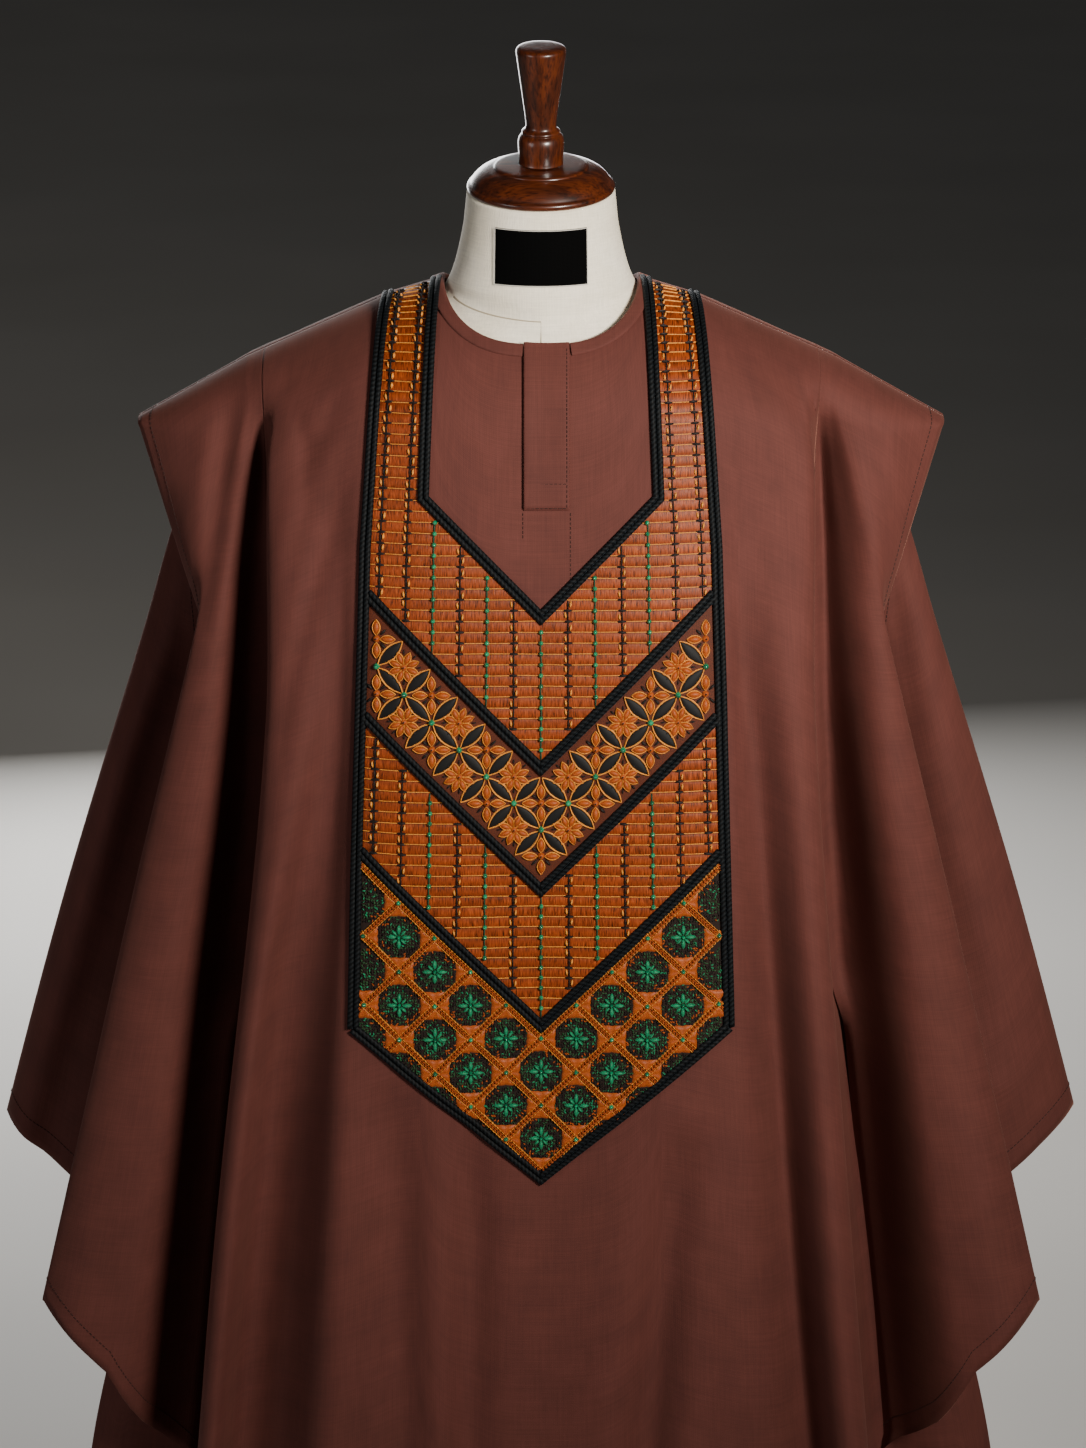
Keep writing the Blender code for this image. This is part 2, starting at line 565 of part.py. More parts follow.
def bib_pieces(source, collection, satin, cord):
    gap = SEAM_GAP * math.sqrt(2)              # measured upright, between slanted edges
    edge = CORD_WIDE + gap                     # fields stay inside the outer cord
    cord_tall = CORD_WIDE * math.sqrt(1 + CHEVRON_RISE ** 2)
    point_rise = (BIB_LOW_Z - BIB_POINT_Z) / BIB_LOW_HALF
    point_tall = CORD_WIDE * math.sqrt(1 + point_rise ** 2)
    inner_rise = (INNER_LOW_Z - INNER_POINT_Z) / INNER_LOW_HALF
    inner_tall = CORD_WIDE * math.sqrt(1 + inner_rise ** 2)
    top = shoulder_height(0.1) + 0.05          # past the seam, where the panel ends

    def strap_inner(z, inset):
        t = (z - INNER_LOW_Z) / (shoulder_height(0.083) - INNER_LOW_Z)
        return INNER_LOW_HALF + (INNER_TOP_HALF - INNER_LOW_HALF) * t + inset

    corner_x = outer_half(BIB_LOW_Z, CORD_WIDE)
    corner_z = BIB_POINT_Z + point_tall + point_rise * corner_x
    for side, word in ((1, "right"), (-1, "left")):
        outline = [(side * outer_half(top), top), (side * outer_half(BIB_CHEST_Z), BIB_CHEST_Z),
                   (side * BIB_LOW_HALF, BIB_LOW_Z), (side * corner_x, corner_z),
                   (side * outer_half(BIB_CHEST_Z, CORD_WIDE), BIB_CHEST_Z),
                   (side * outer_half(top, CORD_WIDE), top)]
        applique("cord_outer_" + word, source, outline, collection, cord)

    low = INNER_LOW_Z - inner_tall + CORD_WIDE * inner_rise
    inner = [(0.0, INNER_POINT_Z - inner_tall), (strap_inner(low, CORD_WIDE), low),
             (strap_inner(top, CORD_WIDE), top), (strap_inner(top, 0), top),
             (strap_inner(INNER_LOW_Z, 0), INNER_LOW_Z), (0.0, INNER_POINT_Z)]
    applique("cord_inner", source, mirror_outline(inner), collection, cord)

    for k, z in enumerate(CHEVRON_Z, 1):
        strip = chevron_strip(z, CHEVRON_RISE, cord_tall, edge)
        applique("cord_chevron_%d" % k, source, strip, collection, cord)

    bottom = mirror_outline([(0.0, BIB_POINT_Z), (BIB_LOW_HALF, BIB_LOW_Z - gap), (corner_x, corner_z - gap),
                             (0.0, BIB_POINT_Z + point_tall)])
    applique("cord_bottom", source, bottom, collection, cord)

    first = chevron_end(CHEVRON_Z[0] + gap, CHEVRON_RISE, edge)
    upper = [(0.0, CHEVRON_Z[0] + gap), first, (outer_half(BIB_CHEST_Z, edge), BIB_CHEST_Z),
             (outer_half(top, edge), top), (strap_inner(top, CORD_WIDE + gap), top),
             (strap_inner(low, CORD_WIDE + gap), low), (0.0, INNER_POINT_Z - inner_tall - gap)]
    applique("bib_upper_field", source, mirror_outline(upper), collection, satin)

    for name, above, below in (("bib_lattice_field", 0, 1), ("bib_lower_field", 1, 2)):
        z = CHEVRON_Z[above] - cord_tall - gap
        strip = chevron_strip(z, CHEVRON_RISE, z - CHEVRON_Z[below] - gap, edge)
        applique(name, source, strip, collection, satin)

    z = CHEVRON_Z[2] - cord_tall - gap
    end = chevron_end(z, CHEVRON_RISE, edge)
    low_corner = (outer_half(BIB_LOW_Z, edge), BIB_POINT_Z + point_tall + gap
                  + point_rise * outer_half(BIB_LOW_Z, edge))
    point = mirror_outline([(0.0, BIB_POINT_Z + point_tall + gap), low_corner, end, (0.0, z)])
    applique("bib_point_field", source, point, collection, satin)


# ---------------------------------------------------------------- dress form and stand
def form_ring(section):
    z, half, front, back, power, middle = section
    ring = []
    for k in range(FORM_SIDES):
        a = 2 * math.pi * k / FORM_SIDES
        depth = back if math.sin(a) > 0 else front
        reach = [math.copysign(abs(v) ** (2 / power), v) for v in (math.cos(a), math.sin(a))]
        ring.append(Vector((half * reach[0], middle + depth * reach[1], z)))
    return ring


def neck_top_ring():
    lean = Matrix.Rotation(NECK_LEAN, 3, "X")
    ring = [lean @ Vector((point.x, point.y, 0)) for point in form_ring((0, CAP_R, CAP_R, CAP_R, 2, 0))]
    return [point + Vector((0, 0, NECK_TOP_Z)) for point in ring]


def form_torso(collection, finish):
    """Torso and neck lofted through level sections, closed by a flat underside and neck top."""
    bm = bmesh.new()
    rings = [form_ring(section) for section in FORM_SECTIONS] + [neck_top_ring()]
    loops = []
    for ring in rings:
        verts = [bm.verts.new(point) for point in ring]
        loops.append([bm.edges.new((a, b)) for a, b in zip(verts, verts[1:] + verts[:1])])
    for low, high in zip(loops, loops[1:]):
        bmesh.ops.bridge_loops(bm, edges=low + high)
    bmesh.ops.holes_fill(bm, edges=loops[0] + loops[-1], sides=FORM_SIDES)
    bmesh.ops.recalc_face_normals(bm, faces=bm.faces[:])
    mesh = bpy.data.meshes.new("form_torso")
    bm.to_mesh(mesh)
    bm.free()
    add_object("form_torso", mesh, collection, finish)


def neck_radius(z):
    """The form's half width at height z on the neck."""
    low = [s for s in FORM_SECTIONS if s[0] <= z][-1]
    high = ([s for s in FORM_SECTIONS if s[0] > z] or [(NECK_TOP_Z, CAP_R, CAP_R, CAP_R, 2, 0)])[0]
    t = (z - low[0]) / (high[0] - low[0])
    return low[1] + (high[1] - low[1]) * t, low[2] + (high[2] - low[2]) * t


def neck_label(collection, finish):
    """Blank label, bent round the front of the neck."""
    columns, rows = 9, 3
    grid = []
    for i in range(columns):
        column = []
        for j in range(rows):
            z = LABEL_Z + LABEL_TALL * (0.5 - j / (rows - 1))
            half, depth = neck_radius(z)
            angle = LABEL_WIDE / half * (i / (columns - 1) - 0.5)
            out = 1 + 0.0007 / half            # clear of the neck's flat facets
            column.append(Vector((math.sin(angle) * half * out, -math.cos(angle) * depth * out, z)))
        grid.append(column)
    wall("neck_label", sheet_bmesh(grid), collection, finish, 0.0010, 1)


def turned(name, profile, collection, finish, steps=28):
    """Solid of revolution: profile of (radius, height) from the top down its outer side."""
    mesh = bpy.data.meshes.new(name)
    bm = bmesh.new()
    verts = [bm.verts.new((r, 0, z)) for r, z in profile]
    for a, b in zip(verts, verts[1:]):
        bm.edges.new((a, b))
    bm.to_mesh(mesh)
    bm.free()
    thing = add_object(name, mesh, collection, finish)
    screw = thing.modifiers.new("turn", "SCREW")
    screw.steps = steps
    screw.render_steps = steps
    screw.use_merge_vertices = True
    screw.merge_threshold = 0.0001
    return thing


def stand(collection, wood):
    cap = turned("neck_cap", [(0, CAP_TALL), (0.036, 0.0226), (0.0390, 0.0220), (0.0402, 0.0206),
                              (0.0470, 0.0192), (0.0530, 0.0160), (0.0580, 0.0110), (0.0608, 0.0072),
                              (0.0625, 0.0052), (0.0625, 0.0018), (0.0610, 0.0003), (0, 0.0003)],
                 collection, wood)
    cap_top = CAP_TALL + SEAM_GAP
    finial = turned("finial", [(0, 0.1026), (0.0186, 0.1016), (FINIAL_R, 0.0990), (FINIAL_R, 0.0965),
                               (0.0182, 0.0740), (0.0150, 0.0510), (0.0124, 0.0330), (0.0130, 0.0300),
                               (0.0164, 0.0285), (0.0166, 0.0250), (0.0188, 0.0225), (0.0194, 0.0175),
                               (0.0188, 0.0105), (0.0184, 0.0020), (0.0180, 0.0), (0, 0.0)],
                    collection, wood, steps=24)
    for thing, height in ((cap, 0.0), (finial, cap_top)):
        thing.rotation_euler = (NECK_LEAN, 0, 0)
        thing.location = Vector((0, 0, NECK_TOP_Z)) + Matrix.Rotation(NECK_LEAN, 3, "X") @ Vector((0, 0, height))
    underside = FORM_SECTIONS[0][0]
    turned("stand_pole", [(0, underside - SEAM_GAP), (0.030, underside - SEAM_GAP), (0.030, underside - 0.010),
                          (POLE_R, underside - 0.022), (POLE_R, BASE_TALL + 0.030), (0.024, BASE_TALL + 0.012),
                          (0.028, BASE_TALL + SEAM_GAP), (0, BASE_TALL + SEAM_GAP)], collection, wood, steps=20)
    turned("stand_base", [(0, BASE_TALL), (BASE_R - 0.035, BASE_TALL - 0.002), (BASE_R - 0.010, BASE_TALL - 0.010),
                          (BASE_R, BASE_TALL - 0.017), (BASE_R, 0.004), (BASE_R - 0.003, 0), (0, 0)],
           collection, wood, steps=40)


# ---------------------------------------------------------------- the whole part
def main():
    clear_scene()
    collection = bpy.data.collections.new(COLLECTION)
    bpy.context.scene.collection.children.link(collection)
    robe = material("plain weave robe cloth", "#75423B", 0.85)
    satin = material("orange satin stitch", "#B85A22", 0.45)
    cord = material("black cord", "#15181B", 0.7)
    linen = material("cream linen", "#E2DACB", 0.9)
    wood = material("varnished wood", "#6A3014", 0.25)
    black = material("black woven label", "#0C0C0C", 0.8)

    front_sheet = body_panel("front_body", FRONT_FOLDS, NECK_FRONT, -1, collection, robe)
    back_sheet = body_panel("back_body", BACK_FOLDS, NECK_BACK, 1, collection, robe)
    for side, word in ((1, "right"), (-1, "left")):
        sleeve("sleeve_front_" + word, SLEEVE_FRONT_FOLDS, SLEEVE_FRONT_HEM, side, -1, collection, robe)
        sleeve("sleeve_back_" + word, SLEEVE_BACK_FOLDS, SLEEVE_BACK_HEM, side, 1, collection, robe)

    placket = [(PLACKET_LEFT, PLACKET_FOOT_Z), (PLACKET_RIGHT, PLACKET_FOOT_Z),
               (PLACKET_RIGHT, 1.6), (PLACKET_LEFT, 1.6)]
    applique("placket", front_sheet, placket, collection, robe)
    band_piece("neck_band_right", front_sheet, PLACKET_RIGHT + SEAM_GAP, BAND_END, collection, robe)
    band_piece("neck_band_left", front_sheet, -BAND_END, PLACKET_LEFT - SEAM_GAP, collection, robe)
    band_piece("neck_band_back", back_sheet, -BAND_END, BAND_END, collection, robe)
    bib_pieces(front_sheet, collection, satin, cord)
    front_sheet.free()
    back_sheet.free()

    form_torso(collection, linen)
    neck_label(collection, black)
    stand(collection, wood)


main()
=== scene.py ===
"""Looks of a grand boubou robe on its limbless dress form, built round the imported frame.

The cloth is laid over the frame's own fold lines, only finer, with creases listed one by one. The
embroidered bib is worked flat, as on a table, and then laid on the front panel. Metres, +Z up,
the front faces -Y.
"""

import math
import random
from collections import namedtuple

import bmesh
import bpy
import numpy as np
from mathutils import Matrix, Vector


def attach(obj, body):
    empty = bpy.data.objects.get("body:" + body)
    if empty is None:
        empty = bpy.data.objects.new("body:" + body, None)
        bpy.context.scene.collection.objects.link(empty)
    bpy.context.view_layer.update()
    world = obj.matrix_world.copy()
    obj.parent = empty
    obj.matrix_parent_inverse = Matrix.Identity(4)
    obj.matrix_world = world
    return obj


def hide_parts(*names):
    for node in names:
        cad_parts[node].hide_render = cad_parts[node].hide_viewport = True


# ---------------------------------------------------------------- sizes shared with the frame, metres
CLOTH = 0.0014             # the robe's cloth, with its body
SEAM_GAP = 0.0003          # between the two panels at the shoulder seam
SEAM_Y = 0.010             # shoulder seam, just behind the neck's middle
SEAM_FLAT = 0.004          # level strip on each side of the shoulder seam
HEM_Z = 0.14
ARMHOLE_Z = 0.889          # lower end of the armhole
SLEEVE_CLEAR = 0.009       # a sleeve's loose inner edge, off the body panel

NECK_HALF = 0.083          # half the width of the neckline
NECK_FRONT = 0.0905        # neckline, shoulder seam to centre front
NECK_BACK = 0.068
NECK_ROUND = 2.9           # power of the neckline's rounded outline
PLACKET_LEFT = -0.0145
PLACKET_RIGHT = 0.0238
PLACKET_FOOT_Z = 1.333

CORD_WIDE = 0.0095         # black cord, two strands side by side
BIB_TOP_HALF = 0.1335      # half width of the bib at the shoulder
BIB_CHEST_HALF = 0.151
BIB_CHEST_Z = 1.300
BIB_LOW_HALF = 0.164
BIB_LOW_Z = 0.885          # outer lower corner of the bib
BIB_POINT_Z = 0.750        # centre point of the bib
INNER_TOP_HALF = 0.0835    # inner edge of the straps at the shoulder
INNER_LOW_HALF = 0.0930
INNER_LOW_Z = 1.345        # where the straps' inner edges turn into the V
INNER_POINT_Z = 1.252      # lower point of the V opening
CHEVRON_RISE = 1.0
CHEVRON_Z = (1.125, 1.020, 0.900)

NECK_TOP_Z = 1.5785
NECK_LEAN = math.radians(7.0)
CAP_R = 0.0625
CAP_TALL = 0.0232
NECK_R = 0.078             # the neck's radius, mean, for lengths round it
LABEL_WIDE = 0.0815
LABEL_TALL = 0.0485
LABEL_Z = 1.5345

# Height of the shoulder seam at a distance from the centre line.
SHOULDER_LINE = ((0.0, 1.5010), (0.083, 1.5010), (0.135, 1.4850), (0.250, 1.4340), (0.344, 1.3810))


# ---------------------------------------------------------------- fold lines
# name, shoulder: distance along the shoulder seam where the line starts; turn: drop over which the
# cloth turns down from the seam; steps: columns of cloth to the next line; path: (z, x, y) points.
Fold = namedtuple("Fold", "name shoulder turn steps path")

FRONT_FOLDS = (
    Fold("centre", 0.000, 0.110, 5,
         ((1.40, 0.000, -0.118), (1.15, 0.000, -0.158), (0.80, 0.000, -0.176), (0.14, 0.000, -0.196))),
    Fold("strap inner", 0.083, 0.110, 3,
         ((1.40, 0.091, -0.116), (1.15, 0.097, -0.158), (0.80, 0.103, -0.182), (0.14, 0.118, -0.210))),
    Fold("bib edge", 0.135, 0.100, 1,
         ((1.36, 0.149, -0.112), (1.15, 0.157, -0.150), (0.80, 0.169, -0.171), (0.14, 0.190, -0.196))),
    Fold("soft valley", 0.155, 0.090, 2,
         ((1.36, 0.168, -0.105), (1.15, 0.172, -0.140), (0.75, 0.207, -0.152), (0.14, 0.268, -0.166))),
    Fold("roll face", 0.185, 0.075, 2,
         ((1.38, 0.203, -0.090), (1.15, 0.211, -0.143), (0.75, 0.243, -0.167), (0.14, 0.296, -0.190))),
    Fold("roll edge", 0.212, 0.060, 1,
         ((1.42, 0.2200, -0.069), (1.395, 0.2235, -0.073), (1.355, 0.2290, -0.084), (1.15, 0.2315, -0.124),
          (0.75, 0.2635, -0.146), (0.14, 0.318, -0.168))),
    Fold("roll back", 0.225, 0.052, 1,
         ((1.42, 0.2275, -0.0645), (1.395, 0.2285, -0.064), (1.355, 0.2270, -0.065), (1.15, 0.226, -0.082),
          (0.75, 0.256, -0.085), (0.14, 0.308, -0.095))),
    Fold("deep valley", 0.236, 0.048, 2,
         ((1.42, 0.2345, -0.0605), (1.395, 0.2340, -0.056), (1.355, 0.2330, -0.044), (1.15, 0.231, -0.042),
          (0.80, 0.262, -0.030), (0.14, 0.330, -0.036))),
    Fold("side flank", 0.244, 0.046, 1,
         ((1.42, 0.2405, -0.0575), (1.395, 0.2415, -0.055), (1.355, 0.2425, -0.048), (1.15, 0.250, -0.056),
          (0.85, 0.275, -0.020), (0.80, 0.285, -0.018), (0.45, 0.372, -0.020), (0.14, 0.405, -0.024))),
    Fold("side turn", 0.268, 0.045, 1,
         ((0.85, 0.290, 0.004), (0.80, 0.302, 0.003), (0.45, 0.402, 0.001), (0.14, 0.432, 0.000))),
    Fold("side seam", 0.270, 0.045, 0,
         ((0.85, 0.290, 0.0098), (0.80, 0.302, 0.0098), (0.45, 0.402, 0.0098), (0.14, 0.432, 0.0098))),
)

BACK_FOLDS = (
    Fold("centre", 0.000, 0.120, 5,
         ((1.40, 0.000, 0.112), (1.15, 0.000, 0.122), (0.80, 0.000, 0.140), (0.14, 0.000, 0.172))),
    Fold("inner ridge", 0.083, 0.120, 3,
         ((1.40, 0.088, 0.114), (1.15, 0.090, 0.134), (0.80, 0.088, 0.162), (0.14, 0.090, 0.206))),
    Fold("shallow valley", 0.140, 0.100, 2,
         ((1.38, 0.142, 0.108), (1.15, 0.143, 0.118), (0.75, 0.160, 0.136), (0.14, 0.186, 0.160))),
    Fold("roll face", 0.185, 0.080, 2,
         ((1.38, 0.196, 0.102), (1.15, 0.204, 0.128), (0.75, 0.232, 0.162), (0.14, 0.286, 0.198))),
    Fold("roll edge", 0.214, 0.062, 1,
         ((1.41, 0.222, 0.082), (1.36, 0.2285, 0.090), (1.15, 0.233, 0.108), (0.75, 0.262, 0.138),
          (0.14, 0.318, 0.168))),
    Fold("roll back", 0.226, 0.052, 1,
         ((1.41, 0.2290, 0.078), (1.36, 0.2295, 0.079), (1.15, 0.230, 0.080), (0.75, 0.260, 0.088),
          (0.14, 0.312, 0.096))),
    Fold("deep valley", 0.236, 0.048, 2,
         ((1.41, 0.2350, 0.074), (1.36, 0.2345, 0.068), (1.15, 0.233, 0.060), (0.80, 0.262, 0.056),
          (0.14, 0.330, 0.062))),
    Fold("side flank", 0.244, 0.046, 1,
         ((1.41, 0.2410, 0.072), (1.36, 0.2440, 0.074), (1.15, 0.256, 0.076), (0.85, 0.275, 0.046),
          (0.80, 0.285, 0.042), (0.45, 0.372, 0.042), (0.14, 0.405, 0.046))),
    Fold("side turn", 0.268, 0.045, 1,
         ((0.85, 0.290, 0.016), (0.80, 0.302, 0.017), (0.45, 0.402, 0.019), (0.14, 0.432, 0.020))),
    Fold("side seam", 0.270, 0.045, 0,
         ((0.85, 0.290, 0.0102), (0.80, 0.302, 0.0102), (0.45, 0.402, 0.0102), (0.14, 0.432, 0.0102))),
)

SLEEVE_FRONT_FOLDS = (
    FRONT_FOLDS[7]._replace(name="armhole"),
    Fold("flute face", 0.244, 0.046, 2,
         ((1.42, 0.2405, -0.0575), (1.395, 0.2430, -0.055), (1.355, 0.2475, -0.056), (1.30, 0.2550, -0.064),
          (1.15, 0.273, -0.076), (0.90, 0.322, -0.086), (0.50, 0.390, -0.108))),
    Fold("flute crest", 0.256, 0.042, 2,
         ((1.42, 0.2480, -0.0545), (1.395, 0.2520, -0.056), (1.355, 0.2620, -0.063), (1.30, 0.2758, -0.0665),
          (1.2165, 0.292, -0.064), (0.967, 0.3535, -0.062), (0.785, 0.396, -0.066), (0.50, 0.462, -0.082))),
    Fold("return", 0.300, 0.030, 2,
         ((1.37, 0.2960, -0.044), (1.285, 0.2985, -0.047), (1.234, 0.2930, -0.049), (1.2165, 0.2905, -0.048),
          (1.19, 0.2900, -0.042), (0.967, 0.337, -0.026), (0.60, 0.420, -0.046))),
    Fold("free edge", 0.344, 0.007, 0,
         ((1.37, 0.3405, -0.009), (1.285, 0.3146, -0.022), (1.234, 0.2985, -0.034), (1.2165, 0.2925, -0.037),
          (1.20, 0.2860, -0.034), (1.13, 0.283, -0.018), (0.90, 0.318, -0.006), (0.60, 0.378, -0.034))),
)

SLEEVE_BACK_FOLDS = (
    BACK_FOLDS[6]._replace(name="armhole"),
    Fold("flute face", 0.244, 0.046, 2,
         ((1.41, 0.2410, 0.072), (1.36, 0.2460, 0.076), (1.15, 0.300, 0.100), (0.90, 0.362, 0.128),
          (0.60, 0.420, 0.156))),
    Fold("flute crest", 0.262, 0.042, 2,
         ((1.40, 0.2640, 0.056), (1.36, 0.2850, 0.062), (1.285, 0.3146, 0.062), (1.185, 0.344, 0.070),
          (0.9155, 0.428, 0.096), (0.60, 0.514, 0.122))),
    Fold("return", 0.305, 0.030, 2,
         ((1.37, 0.3060, 0.044), (1.285, 0.311, 0.046), (1.185, 0.331, 0.042), (0.9155, 0.398, 0.052),
          (0.60, 0.470, 0.066))),
    Fold("free edge", 0.344, 0.007, 0,
         ((1.37, 0.3400, 0.029), (1.285, 0.3120, 0.036), (1.234, 0.2940, 0.034), (1.13, 0.290, 0.028),
          (0.9155, 0.332, 0.034), (0.60, 0.385, 0.048))),
)

# The left side hangs a little wider: how far each line moves outwards, hem to shoulder.
LEFT_SHIFT = {"roll face": 0.012, "roll edge": 0.014, "roll back": 0.014, "soft valley": -0.006}
LEFT_SHIFT_TOP_Z = 1.20
LEFT_SHIFT_LOW_Z = 0.60

# Lower edge of each sleeve line.
SLEEVE_FRONT_HEM = {"armhole": 0.427, "flute face": 0.540, "flute crest": 0.598, "return": 0.632,
                    "free edge": 0.655}
SLEEVE_BACK_HEM = {"armhole": 0.640, "flute face": 0.690, "flute crest": 0.716, "return": 0.690,
                   "free edge": 0.633}
LEVEL_CUT_Z = 0.65         # the lower edges are drawn straight in plan as the lines stand here
SLEEVE_GUIDE = 6           # the body's line, at or before the armhole, that leads a sleeve's curve

# Cut sizes, across and down. A body panel runs over the shoulder seam to the hem.
BODY_CUT = (1.18, 1.52)
SLEEVE_CUT = (0.34, 1.06)
PLACKET_CUT = (0.046, 0.150)
BAND_CUT = 0.0185          # a neck band's width; its length is the neckline's
BODY_HEM, SLEEVE_HEM, CUFF_HEM = 0.022, 0.020, 0.014      # stitch line, in from the edge


# Form sections: height, half width, depth to the front and to the back of the section's middle,
# roundness power, and how far that middle stands behind the pole.
FORM_SECTIONS = (
    (0.7950, 0.166, 0.096, 0.096, 2.3, 0.000),
    (0.8100, 0.182, 0.110, 0.112, 2.3, 0.000),
    (0.8700, 0.186, 0.112, 0.118, 2.3, 0.000),
    (0.9600, 0.174, 0.104, 0.100, 2.3, 0.000),
    (1.0700, 0.162, 0.100, 0.084, 2.3, 0.000),
    (1.1800, 0.182, 0.112, 0.096, 2.3, 0.000),
    (1.2700, 0.208, 0.118, 0.102, 2.3, 0.000),
    (1.3400, 0.228, 0.115, 0.098, 2.3, 0.002),
    (1.3850, 0.235, 0.110, 0.091, 2.2, 0.005),
    (1.4150, 0.230, 0.103, 0.083, 2.1, 0.008),
    (1.4400, 0.216, 0.096, 0.074, 2.0, 0.010),
    (1.4550, 0.189, 0.090, 0.067, 1.9, 0.010),
    (1.4650, 0.168, 0.086, 0.063, 1.8, 0.010),
    (1.4750, 0.136, 0.0850, 0.0600, 1.56, 0.010),
    (1.4835, 0.109, 0.0838, 0.0590, 1.58, 0.010),
    (1.4900, 0.0920, 0.0828, 0.0582, 1.68, 0.010),
    (1.4960, 0.0818, 0.0812, 0.0590, 1.90, 0.009),
    (1.5015, 0.0790, 0.0768, 0.0620, 2.00, 0.005),
    (1.5065, 0.0767, 0.0732, 0.0650, 2.00, 0.002),
    (1.5180, 0.0728, 0.0695, 0.0665, 2.00, 0.000),
    (1.5330, 0.0690, 0.0672, 0.0655, 2.00, 0.000),
    (1.5520, 0.0652, 0.0645, 0.0640, 2.00, 0.000),
)


# ---------------------------------------------------------------- the cloth's surface
FINE = 5                   # fine columns for each of the frame's
TURN_ROWS = 22             # rows round the turn at the shoulder
BODY_ROWS = 130
SLEEVE_ROWS = 96
FLANK = 4 * FINE           # columns of a body panel past the armhole
CLEAR_TALL = 0.08          # the sleeve's loose edge swings clear over this height
NECK_EDGE = 0.02           # angle round the turn, neckline to the next row


def ease(t):
    t = np.clip(t, 0.0, 1.0)
    return t * t * (3 - 2 * t)


def blend_curve(p0, p1, m0, m1, t):
    """Cubic between p0 and p1 that leaves with m0 and arrives with m1."""
    t2, t3 = t * t, t * t * t
    return p0 * (2 * t3 - 3 * t2 + 1) + m0 * (t3 - 2 * t2 + t) + p1 * (3 * t2 - 2 * t3) + m1 * (t3 - t2)


def unit(ways):
    """The ways, each made one long."""
    return ways / np.maximum(np.linalg.norm(ways, axis=-1, keepdims=True), 1e-12)


def run_along(places):
    """Length from the first place to each one."""
    return np.concatenate([[0], np.cumsum(np.linalg.norm(np.diff(places, axis=0), axis=1))])


def at_run(where, run, rows):
    """The rows of a table at lengths `where` along their run."""
    return np.stack([np.interp(where, run, column) for column in rows.T], axis=-1)


def along(stations, where):
    """Smooth values at `where` (an array) through rows of (place, value, ...), places rising."""
    place, value = stations[:, 0], stations[:, 1:]
    last = len(place) - 1
    ahead, behind = np.minimum(np.arange(last + 1) + 1, last), np.maximum(np.arange(last + 1) - 1, 0)
    slope = (value[ahead] - value[behind]) / (place[ahead] - place[behind])[:, None]
    i = np.clip(np.searchsorted(place, where, side="right") - 1, 0, last - 1)
    span = (place[i + 1] - place[i])[:, None]
    t = (where - place[i])[:, None] / span
    inside = blend_curve(value[i], value[i + 1], slope[i] * span, slope[i + 1] * span, t)
    below = value[0] + slope[0] * (where - place[0])[:, None]
    above = value[last] + slope[last] * (where - place[last])[:, None]
    return np.where(t < 0, below, np.where(t > 1, above, inside))


def shoulder_height(x):
    """Height of the shoulder seam this far from the centre line."""
    line = np.array(SHOULDER_LINE)
    return float(np.interp(abs(x), line[:, 0], line[:, 1]))


